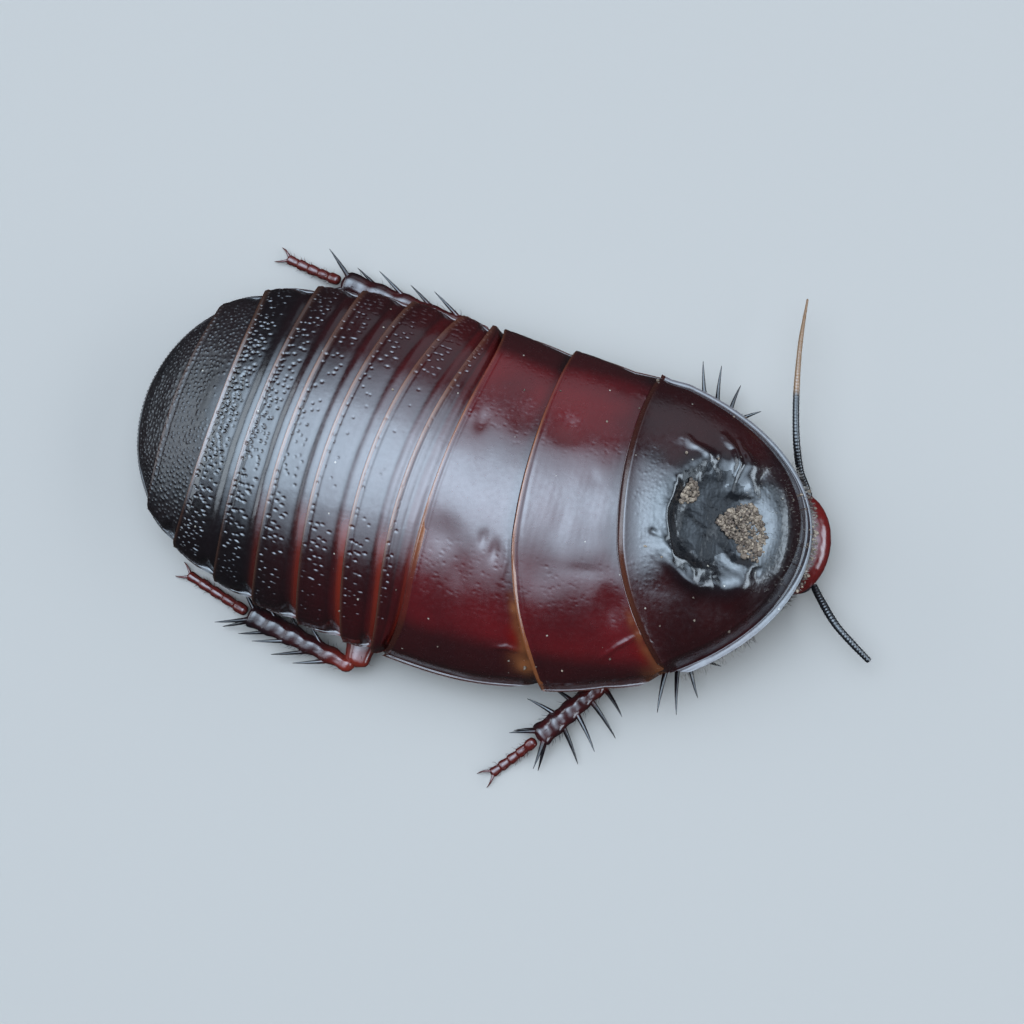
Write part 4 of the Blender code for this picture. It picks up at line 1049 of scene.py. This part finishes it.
def addSpines(bm, leg, joints, start, end):
    hip, knee, ankle, toe = joints[1:]
    way = unit(end - start)
    out = unit(np.cross((0, 0, 1), way) * leg["side"] * math.copysign(1, way[0]))
    up = np.cross(way, out)
    up = up * math.copysign(1, up[2])
    for share, turn, length, lean in leg["spines"]:
        lean += leg["sweep"] if share < 0.9 else 0
        a = math.radians(turn + dice.uniform(-6, 6))
        away = out * math.cos(a) + up * math.sin(a)
        share = min(share, 1 - 0.75 / np.linalg.norm(end - start))
        root = start + (end - start) * share + away * 0.25
        tip = root + unit(away + way * lean) * length * leg["scale"] * dice.uniform(0.92, 1.08) + away * 0.55
        middle = root + (tip - root) * 0.55 - way * 0.08
        spots = []
        for p in (middle, tip):
            p = keptClear(p, hip, knee, spine["femurRoom"])
            p = keptClear(p, ankle, toe, spine["tarsusRoom"])
            p[2] = max(min(p[2], clearOfBody(p) - 0.3), 0.35)
            spots.append(p)
        spike(bm, root, *spots, spine["radius"], sides=10, rings=9, blunt=spine["blunt"])


def addClaws(bm, start, end):
    flat = unit(np.array([end[0] - start[0], end[1] - start[1], 0]))
    across = np.array([-flat[1], flat[0], 0])
    near, far = claw["apart"]
    for sign in (1, -1):
        root = end - flat * claw["back"] + across * sign * near + np.array([0, 0, 0.12])
        tip = end + flat * claw["ahead"] + across * sign * far
        tip[2] = claw["tipHeight"]
        middle = root + (tip - root) * 0.55 + np.array([0, 0, 0.2]) + across * sign * 0.12
        spike(bm, root, middle, tip, claw["radius"], sides=10, rings=8, blunt=claw["blunt"])


def finishLimb(node, bm, slot, masks=None, name=None):
    name = name or node + "_shape"
    mesh = meshFrom(name, bm)
    co = vertexArray(mesh) / mm
    for mask, make in (masks or {}).items():
        setMask(mesh, mask, make(co))
    newObject(name, mesh, finishes[slot], [node])


def makeLimb(name, leg, part, joints, start, end):
    scale, knee, ankle = leg["scale"], joints[2], joints[3]
    widths, heights = (np.array(v) * scale for v in limbSizes[part])
    path = straight(start, end, 40)
    length = np.linalg.norm(end - start)
    knots = 2 * math.pi / (0.18 * length)      # swellings where the spines stand
    swell = 0.12 * scale if part == "tibia" else 0.02

    def beads(reach, a):
        u = np.minimum(reach / length, 0.999) * 5
        u = u - np.floor(u)
        return 0.09 * smooth(u / 0.75) * (1 - smooth((u - 0.86) / 0.14)) - 0.05

    def ribs(reach, a):
        wave = swell * np.sin(reach * knots + 0.8 * np.cos(a)) * (0.6 + 0.4 * np.sin(a)) - swell * 0.5
        for height, along, about in ((0.01, 3.1, 2), (0.008, 9.7, 5)):
            wave = wave + height * np.sin(reach * along + about * a)
        return wave + 0.03 * np.cos(5 * a)

    def black(co):
        t = np.clip((co - knee) @ unit(ankle - knee) / np.linalg.norm(ankle - knee), 0, 1)
        far = np.linalg.norm(co - knee - t[:, None] * (ankle - knee), axis=1)
        return smooth((far - 0.9) / 0.5 + 0.4) if part == "tibia" else 0 * t

    def red(co):
        near = bump(np.linalg.norm(co - knee, axis=1) / 2.2)
        return near * (1 - black(co)) + (0.35 if part == "tarsus" else 0)

    bm = bmesh.new()
    if part == "tarsus":
        path[:, 2] = start[2] + (end[2] - start[2]) * (1 - (1 - np.linspace(0, 1, 40)) ** 2)
        tube(bm, 16, 70, limbPlace(path, widths, heights, beads, 0.25, 0.25, roof=clearOfBody))
        addClaws(bm, start, end)
    else:
        ends = 0.7 * scale, 0.6 * scale
        tube(bm, 32, 44, limbPlace(path, widths, heights, ribs, *ends, roof=clearOfBody))
    if part == "tibia":
        addSpines(bm, leg, joints, start, end)
    if part in limbCoats:
        limbHairs(bm, path, widths, heights, limbCoats[part])
    finishLimb(f"{part}_{name}", bm, "leg", {"black": black, "thin": red})


def makeLeg(name, spots):
    kind, hand = name.split("_")
    leg = {**legPairs[kind], **spots, "side": 1 if hand == "left" else -1}
    station, y = leg["coxa"]
    joints = (placed(station, leg["side"] * y, hipHeight), placed(*leg["trochanter"], hipHeight),
              bodyPoint(*leg["knee"]), bodyPoint(*leg["ankle"]), bodyPoint(*leg["toe"], toeHeight))
    for i, part in enumerate(limbSizes):      # the pieces meet with a small gap
        start, end = joints[i], joints[i + 1]
        gap = unit(end - start) * 0.1
        makeLimb(name, leg, part, joints, start + gap if i else start, end - gap if i < 3 else end)


for name, leg in legs.items():
    makeLeg(name, leg)
print("legs made")


# Head, set under the pronotum; its axes are side, up from mouth to crown, and front, out of the face

bothSides = ((1, "left"), (-1, "right"))
head = {"s": 26.6, "z": 3.0, "width": 4.45, "depth": 2.15, "length": 3.65, "tilt": 36, "mouth": -2.35}
eye = {"place": (3.5, 0.25, 0.55), "size": (0.75, 1.4, 1.2), "facet": 0.08, "facetDepth": 0.03}
neck = {"back": (21.2, 0.0, 5.0), "front": (0.0, 0.3, -1.9), "width": 2.4, "height": 1.5}
mouthParts = {     # centre and sizes across, out of the face and along
    "labrum": ((0, 0.95), (1.35, 0.55, 1.5), (48, 32)),
    "mandible": ((0.9, -0.2), (0.75, 0.5, 1.35), (40, 28)),
}
palps = {     # places of its joints, radius and number of pieces
    "maxillary_palp": (((2.2, -2.65, -0.2), (2.9, -3.6, 0.1), (3.9, -4.3, 0.5)), 0.33, 4),
    "labial_palp": (((0.95, -2.65, -1.3), (1.5, -3.6, -1.1), (2.4, -4.5, -0.4)), 0.32, 3),
}


def headPoint(side, up, front):
    tilt = math.radians(head["tilt"])
    s = head["s"] + up * math.cos(tilt) + front * math.sin(tilt)
    return placed(s, side, head["z"] + up * math.sin(tilt) - front * math.cos(tilt))


def ovalMesh(centre, radii, counts, shape=None):
    # a ball stretched along the head's axes; one without a shape of its own is cut off flat
    # where it meets the mouth
    bm = bmesh.new()
    bmesh.ops.create_uvsphere(bm, u_segments=counts[0], v_segments=counts[1], radius=1)
    flat = np.array([v.co for v in bm.verts])
    side, up, front = flat[:, 0], flat[:, 2], flat[:, 1]
    if shape:
        side, up, front = shape(side, up, front)
    side, up, front = centre[0] + side * radii[0], centre[1] + up * radii[2], centre[2] + front * radii[1]
    if not shape:
        up = np.minimum(up, head["mouth"] - 0.3)
    out = headPoint(side, up, front)
    out[:, 2] = np.maximum(out[:, 2], 0.3)
    for v, p in zip(bm.verts, out):
        v.co = p * mm
    faceOut(bm)
    return bm


def skull(side, up, front):
    pinch = 1 - 0.22 * np.clip(-up, 0, None) ** 1.5
    front = front * np.where(front > 0, 0.86, 1.0)
    groove = 0.03 * bump((np.abs(side) - 0.32 - 0.3 * up) / 0.05) * (front > 0.2) * (up < 0.2)
    wrinkle = 0.004 * np.sin(23 * side + 5 * up) * np.sin(31 * up + 3 * side)
    grow = 1 - groove + wrinkle
    up, front = np.maximum(up * grow, head["mouth"] / head["length"]), front * grow
    beyond = np.clip(-(0.5 * (up * head["length"] - 0.3) + front * head["depth"] + 1.75) / 1.25, 0, None)
    return side * pinch * grow, up + beyond * 0.5 / head["length"], front + beyond / head["depth"]


def makeEye(sign, side):
    bm = bmesh.new()
    bmesh.ops.create_icosphere(bm, subdivisions=6, radius=1)
    facets = bmesh.new()
    bmesh.ops.create_icosphere(facets, subdivisions=4, radius=1)
    tree = KDTree(len(facets.verts))
    for i, v in enumerate(facets.verts):
        tree.insert(v.co, i)
    facets.free()
    tree.balance()
    place, size = eye["place"], eye["size"]
    for v in bm.verts:
        grow = 0.99 - eye["facetDepth"] * (tree.find(v.co)[2] / eye["facet"]) ** 2
        v.co = mm * headPoint(sign * place[0] + v.co.x * size[0] * grow, place[1] + v.co.z * size[1] * grow,
                              place[2] + v.co.y * size[2] * grow)
    faceOut(bm)
    finishLimb(f"eye_{side}", bm, "eye")


def makeHead():
    bm = ovalMesh((0, 0, 0), (head["width"], head["depth"], head["length"]), (128, 80), skull)
    finishLimb("head_capsule", bm, "head", name="headShape")

    def folds(reach, a):
        return 0.06 * np.sin(reach * 5) - 0.06

    bm = bmesh.new()
    path = straight(placed(*neck["back"]), headPoint(*neck["front"]), 20)
    widths, heights = (neck["width"], neck["width"]), (neck["height"], neck["height"])
    tube(bm, 40, 30, limbPlace(path, widths, heights, folds, 0.4, 0.4, roof=clearOfBody))
    finishLimb("neck", bm, "leg", name="neckShape")
    for sign, side in bothSides:
        makeEye(sign, side)


def makePalp(name, sign, side):
    spots, radius, joints = palps[name]
    places = [headPoint(sign * p[0], p[1], p[2]) for p in spots]
    for p in places:
        p[2] = max(p[2], radius + 0.3)
    path = evenPath(places, 40)
    length = runOf(path)[-1]

    def swell(reach, a):
        u = reach / length * joints % 1
        return 0.05 * smooth(u / 0.7) * (1 - smooth((u - 0.88) / 0.12)) - 0.05

    bm = bmesh.new()
    radii = (radius, radius * 0.8, radius)
    tube(bm, 16, 48, limbPlace(path, radii, radii, swell, 0.2, 0.3, floor=0.3))
    limbHairs(bm, path, (radius, radius), (radius, radius), (30, 0.25, 0.015))
    finishLimb(f"{name}_{side}", bm, "mouth")


def makeMouth():
    (x, z), radii, counts = mouthParts["labrum"]
    finishLimb("labrum", ovalMesh((x, head["mouth"], z), radii, counts), "mouth", name="labrumShape")
    (x, z), radii, counts = mouthParts["mandible"]
    for sign, side in bothSides:
        bm = ovalMesh((sign * x, head["mouth"], z), radii, counts)
        finishLimb(f"mandible_{side}", bm, "mouth")
        for name in palps:
            makePalp(name, sign, side)


makeHead()
makeMouth()
print("head and mouth made")


# Antennae: a beaded feeler each, whole on the left and broken off on the right

beadStep = 0.29
antennae = {     # tan is the sideways place where the tan tip begins
    "left": {"side": 1, "radii": (0.30, 0.32, 0.29, 0.21, 0.10), "tan": 10.9,
             "path": ((28.0, 1.9, 1.1), (27.3, 3.7, 1.5), (26.5, 5.0, 2.8), (25.9, 7.0, 4.1),
                      (25.5, 9.6, 4.6), (25.25, 12.6, 4.6), (25.15, 16.2, 4.1), (25.3, 20.1, 3.2))},
    "right": {"side": -1, "radii": (0.31, 0.34, 0.31, 0.27), "tan": 99,
              "path": ((28.8, -4.4, 1.25), (29.5, -5.6, 1.9), (30.9, -7.6, 2.8), (32.4, -9.0, 2.8),
                       (34.2, -10.4, 2.3))},
}


def makeAntenna(name, antenna):
    sign, radii, tan = antenna["side"], antenna["radii"], antenna["tan"]
    pit = headPoint(sign * 2.3, -0.1, 1.75)
    places = [bodyPoint(*p) for p in antenna["path"]]
    lead = unit(places[0] - pit)
    bm = bmesh.new()
    scape = (0.40, 0.48, 0.36)
    path = straight(pit, places[0] - lead * 0.15, 12)
    tube(bm, 24, 24, limbPlace(path, scape, scape, None, 0.3, 0.25, roof=clearOfBody))
    finishLimb(f"antenna_scape_{name}", bm, "antenna")
    path = evenPath(places, 240)
    length = runOf(path)[-1]

    def beads(reach, a):
        at = path[np.clip((reach / reach.max() * 239).astype(int), 0, 239), 1] + body["origin"][1]
        fade = smooth((at - tan) / 3) if sign > 0 else 0
        return (0.045 * np.sin(math.pi * (reach / beadStep % 1)) ** 0.8 - 0.04) * (1 - 0.75 * fade)

    def far(co):
        return smooth((co[:, 1] + body["origin"][1] - tan) / 0.9)

    bm = bmesh.new()
    tube(bm, 14, int(length / beadStep * 6), limbPlace(path, radii, radii, beads, 0.2, 0.12))
    limbHairs(bm, path, radii, radii, (int(length * 9), 0.16, 0.012))
    finishLimb(f"antenna_flagellum_{name}", bm, "antenna", {"thin": far})


for name, antenna in antennae.items():
    makeAntenna(name, antenna)
print("antennae made")


# Cerci, hairs and soil

cercus = {"ends": ((-27.3, 5.2), (-29.6, 7.0)), "radii": (0.72, 0.66, 0.28), "sunk": 0.75, "ring": 0.38}


def makeCerci():
    def beads(reach, a):
        return 0.04 * np.abs(np.sin(reach * math.pi / cercus["ring"])) - 0.04

    radii = cercus["radii"]
    for sign, side in bothSides:
        ends = []
        for s, y in cercus["ends"]:
            ends.append(placed(s, sign * y, underHeight(s, y / halfWidth(s)) - cercus["sunk"]))
        path = straight(*ends, 30)
        bm = bmesh.new()
        tube(bm, 24, 60, limbPlace(path, radii, radii, beads, 0.3, 0.3, roof=clearOfBody))
        limbHairs(bm, path, radii, radii, (60, 0.4, 0.018))
        finishLimb(f"cercus_{side}", bm, "tail")


makeCerci()

hairs = {
    "colours": ((0.04, 0.028, 0.022), (0.30, 0.26, 0.22)), "noise": (900.0, 2.0), "roughness": 0.45,
    "fringe": {"span": (-6.2, 6.2), "count": 320, "length": (0.3, 0.75), "radius": 0.034},
    "beard": {"span": (-12.2, -8.2), "count": 60, "length": (0.5, 1.0), "radius": 0.028},
    "shield": {"stations": (22.4, 27.3), "span": (-5.2, 5.2), "count": 420, "length": (0.14, 0.28),
               "radius": 0.015},
}


def hairMaterial():
    made, tree, shader = newMaterial("hairs", hairs["roughness"])
    mask = noisyMask(tree, hairs["noise"], 0, 1, 0.4, 0.6)
    tree.links.new(mixColour(tree, mask, *hairs["colours"]), shader.inputs["Base Color"])
    return made


def makeHairs():
    look = hairMaterial()
    bm = bmesh.new()
    coat = hairs["fringe"]      # pale hairs along the front edge, over the head
    for y in np.linspace(*coat["span"], coat["count"]):
        y = y + rng.normal(0, 0.03)
        s = frontStation(y) - 0.12
        root = placed(s, y, edgeHeight(s) + rng.uniform(-0.25, 0.1))
        ahead = unit(placed(s + 1.0, y * 1.02, 0.0) - placed(s, y, 0.0))
        spread = np.array([rng.normal(0, 0.25), rng.normal(0, 0.3), -0.2 + rng.normal(0, 0.25)])
        hair(bm, root, unit(ahead + spread), rng.uniform(*coat["length"]), coat["radius"])
    coat = hairs["beard"]       # dark hairs under the right front margin
    for y in np.linspace(*coat["span"], coat["count"]):
        s = frontStation(y) - 0.15
        root = placed(s, y, edgeHeight(s) - 0.35)
        way = unit(np.array([0.45 + rng.normal(0, 0.3), -0.8 + rng.normal(0, 0.3), -0.6]))
        hair(bm, root, way, rng.uniform(*coat["length"]), coat["radius"])
    newObject("frontHairs", meshFrom("hairs", bm), look, [])
    bm = bmesh.new()
    coat = hairs["shield"]      # short hairs on the granular front of the pronotum
    for _ in range(coat["count"]):
        s, y = rng.uniform(*coat["stations"]), rng.uniform(*coat["span"])
        if marginDistance(s, y) < 0.7:
            continue
        root, normal = onBack(s, y)
        way = unit(normal + np.array([0.9, rng.normal(0, 0.4), 0]))
        hair(bm, root, way, rng.uniform(*coat["length"]), coat["radius"])
    newObject("shieldHairs", meshFrom("shieldHairs", bm), look, [])


makeHairs()

soil = {
    "colours": ((0.085, 0.055, 0.038), (0.32, 0.235, 0.165)), "shade": (0.05, 0.035, 0.025),
    "roughness": 0.75, "noise": (5200.0, 3.0),
    "piles": {   # count of grains and outline
        "clump": (620, [(20.4, 0.3), (21.5, 1.3), (22.3, 1.9), (23.2, 2.0), (24.0, 0.5), (24.3, -0.5),
                        (24.1, -2.0), (23.4, -2.9), (22.6, -2.5), (22.0, -1.3), (21.2, -0.8)]),
        "crumb": (120, [(17.3, 1.5), (17.5, 2.6), (17.9, 3.4), (18.5, 3.2), (18.8, 2.4), (18.4, 1.7)]),
    },
    "specks": [   # station, side and size
        (17.3, 5.5, 0.16), (19.9, 5.2, 0.11), (20.9, 9.7, 0.08), (14.6, -2.7, 0.12), (15.9, -3.3, 0.10),
        (18.7, -6.3, 0.09), (18.9, -8.0, 0.10), (21.8, -8.5, 0.13), (23.6, -2.8, 0.12), (26.2, 2.7, 0.11),
        (13.0, 9.2, 0.10), (12.4, -11.4, 0.09), (10.4, 7.5, 0.09), (14.2, 12.2, 0.12), (6.3, -13.0, 0.16),
        (5.5, 9.4, 0.09), (1.8, 9.0, 0.09), (-3.2, -9.6, 0.09), (-7.4, -12.4, 0.08), (-9.0, 5.6, 0.10),
        (-4.9, -5.2, 0.07), (8.9, -12.6, 0.10), (22.0, 10.2, 0.09), (16.2, -8.7, 0.07), (0.5, -12.8, 0.08)],
    "caught": 110,      # grains in the front fringe
}


def soilMaterial():
    made, tree, shader = newMaterial("soil", soil["roughness"])
    tone = mixColour(tree, attribute(tree, "tone"), *soil["colours"])
    shade = noisyMask(tree, soil["noise"], 0.5, 0, 0.35, 0.6)
    tree.links.new(mixColour(tree, shade, tone, soil["shade"]), shader.inputs["Base Color"])
    return made


def inOutline(outline, s, y):
    inside = False
    for (s0, y0), (s1, y1) in zip(outline, outline[1:] + outline[:1]):
        if (y0 > y) != (y1 > y) and s < (s1 - s0) * (y - y0) / (y1 - y0) + s0:
            inside = not inside
    return inside


def addGrain(bm, centre, size):
    layer = bm.verts.layers.float.get("tone") or bm.verts.layers.float.new("tone")
    made = bmesh.ops.create_icosphere(bm, subdivisions=2, radius=1)
    stretch = rng.uniform(0.7, 1.25, 3)
    wave = rng.normal(0, 2.2, (3, 3))
    tone = rng.random() ** 1.6
    for v in made["verts"]:
        co = np.array(v.co)
        co = co * stretch * (1 + 0.13 * np.sin(wave @ co).sum())
        v.co = (centre + co * size) * mm
        v[layer] = tone


def makeSoil():
    look = soilMaterial()
    for name, (count, outline) in soil["piles"].items():
        middle = np.mean(outline, axis=0)
        heart = [tuple(middle + (np.array(p) - middle) * 0.62) for p in outline]
        bm = bmesh.new()
        while count:
            s, y = rng.uniform(17, 25), rng.uniform(-3.2, 4)
            if not inOutline(outline, s, y):
                continue
            count -= 1
            large = count % 5 == 0
            spot, normal = onBack(s, y)
            size = rng.uniform(0.16, 0.27) if large else rng.uniform(0.06, 0.15)
            high = 0.1 if large else 0.46 if inOutline(heart, s, y) else 0.24
            addGrain(bm, spot + np.array([0, 0, rng.uniform(-0.05, high)]), size)
        newObject("soil" + name.capitalize(), meshFrom(name, bm), look, [])
    bm = bmesh.new()
    for s, y, size in soil["specks"]:
        spot, normal = onBack(s, y)
        addGrain(bm, spot + normal * size * 0.4, size)
    for _ in range(soil["caught"]):
        y = rng.uniform(-4.6, 4.0)
        s = frontStation(y) + rng.uniform(-0.5, 0.45)
        addGrain(bm, placed(s, y, edgeHeight(s) - rng.uniform(-0.15, 0.25)), rng.uniform(0.05, 0.15))
    newObject("soilSpecks", meshFrom("specks", bm), look, [])


makeSoil()
print("cerci, hairs and soil made")


# Floor, light and camera

view = {
    "roll": 8.2, "tiltX": 7.0, "tiltY": 9.0,    # degrees
    "distance": 180.0, "scale": 11.63,          # photograph pixels per millimetre at the aim
    "aim": (2.52, -1.81, 4.0),
    "pixels": 1024, "sensor": 36,               # width of the picture and of the film, in mm
}


def makeCamera():
    roll = math.radians(view["roll"])
    aim = Vector(bodyPoint(*view["aim"])) * mm
    leanX, leanY = (math.tan(math.radians(view[key])) for key in ("tiltX", "tiltY"))
    back = Vector((leanX, -leanY, 1)).normalized()
    up = Vector((-math.sin(roll), math.cos(roll), 0))
    up = (up - back * up.dot(back)).normalized()
    right = up.cross(back)
    data = bpy.data.cameras.new("camera")
    data.sensor_width = view["sensor"]
    data.lens = view["sensor"] * view["scale"] * view["distance"] / view["pixels"]
    data.clip_start, data.clip_end = 0.01, 10
    camera = bpy.data.objects.new("camera", data)
    turn = Matrix((right, up, back)).transposed().to_4x4()
    camera.matrix_world = Matrix.Translation(aim + back * view["distance"] * mm) @ turn
    bpy.context.scene.collection.objects.link(camera)
    bpy.context.scene.camera = camera


makeCamera()

lights = [   # name, place, size, power in watts, spread in degrees, colour
    ("overhead", (-0.05, 0.045, 0.45), (1.1, 0.95), 5.2, 100, (0.64, 0.81, 1.0)),
    ("overheadCore", (-0.15, 0.05, 0.45), (0.40, 0.46), 0.65, 120, (0.64, 0.81, 1.0)),
    ("frontSoft", (0.45, 0.03, 0.23), (0.68, 0.22), 1.2, 120, (0.72, 0.86, 1.0)),
    ("leftSoft", (0.08, 0.50, 0.16), (0.36, 0.3), 0.055, 120, (0.75, 0.86, 1.0)),
    ("rearSoft", (-0.50, 0.08, 0.24), (0.5, 0.2), 0.45, 120, (0.75, 0.88, 1.0)),
]
studio = {
    "backdrop": (0.56, 0.63, 0.69, 1), "backdropSeen": 0.9, "backdropLight": 0.044,
    "floor": (0.315, 0.280, 0.250, 1), "floorRadius": 0.42, "floorRoughness": 0.7,
}


def makeLights():
    for name, place, size, power, spread, colour in lights:
        data = bpy.data.lights.new(name, "AREA")
        data.shape, data.size, data.size_y = "RECTANGLE", *size
        data.energy, data.color, data.spread = power, colour, math.radians(spread)
        lamp = bpy.data.objects.new(name, data)
        lamp.location = place
        lamp.rotation_euler = (-Vector(place)).to_track_quat("-Z", "Y").to_euler()
        bpy.context.scene.collection.objects.link(lamp)


def makeBackdrop():      # pale where the camera sees it, and only a soft light otherwise
    world = bpy.data.worlds.new("studio")
    world.use_nodes = True
    tree, background = world.node_tree, world.node_tree.nodes["Background"]
    seen = addNode(tree, "LightPath").outputs["Is Camera Ray"]
    strength = scaled(tree, seen, studio["backdropLight"], studio["backdropSeen"])
    background.inputs["Color"].default_value = studio["backdrop"]
    tree.links.new(strength, background.inputs["Strength"])
    bpy.context.scene.world = world
    bpy.context.scene.view_settings.view_transform = "Standard"


def makeFloor():
    bm = bmesh.new()
    bmesh.ops.create_circle(bm, cap_ends=True, segments=96, radius=studio["floorRadius"])
    mesh = meshFrom("floor", bm)
    floor = bpy.data.objects.new("floor", mesh)
    bpy.context.scene.collection.objects.link(floor)
    look, _, shader = newMaterial("paleFloor", studio["floorRoughness"])
    shader.inputs["Base Color"].default_value = studio["floor"]
    mesh.materials.append(look)
    floor.visible_glossy = False      # its mirror image would grey the dark sides of the body


makeLights()
makeBackdrop()
makeFloor()
print("floor, light and camera made")
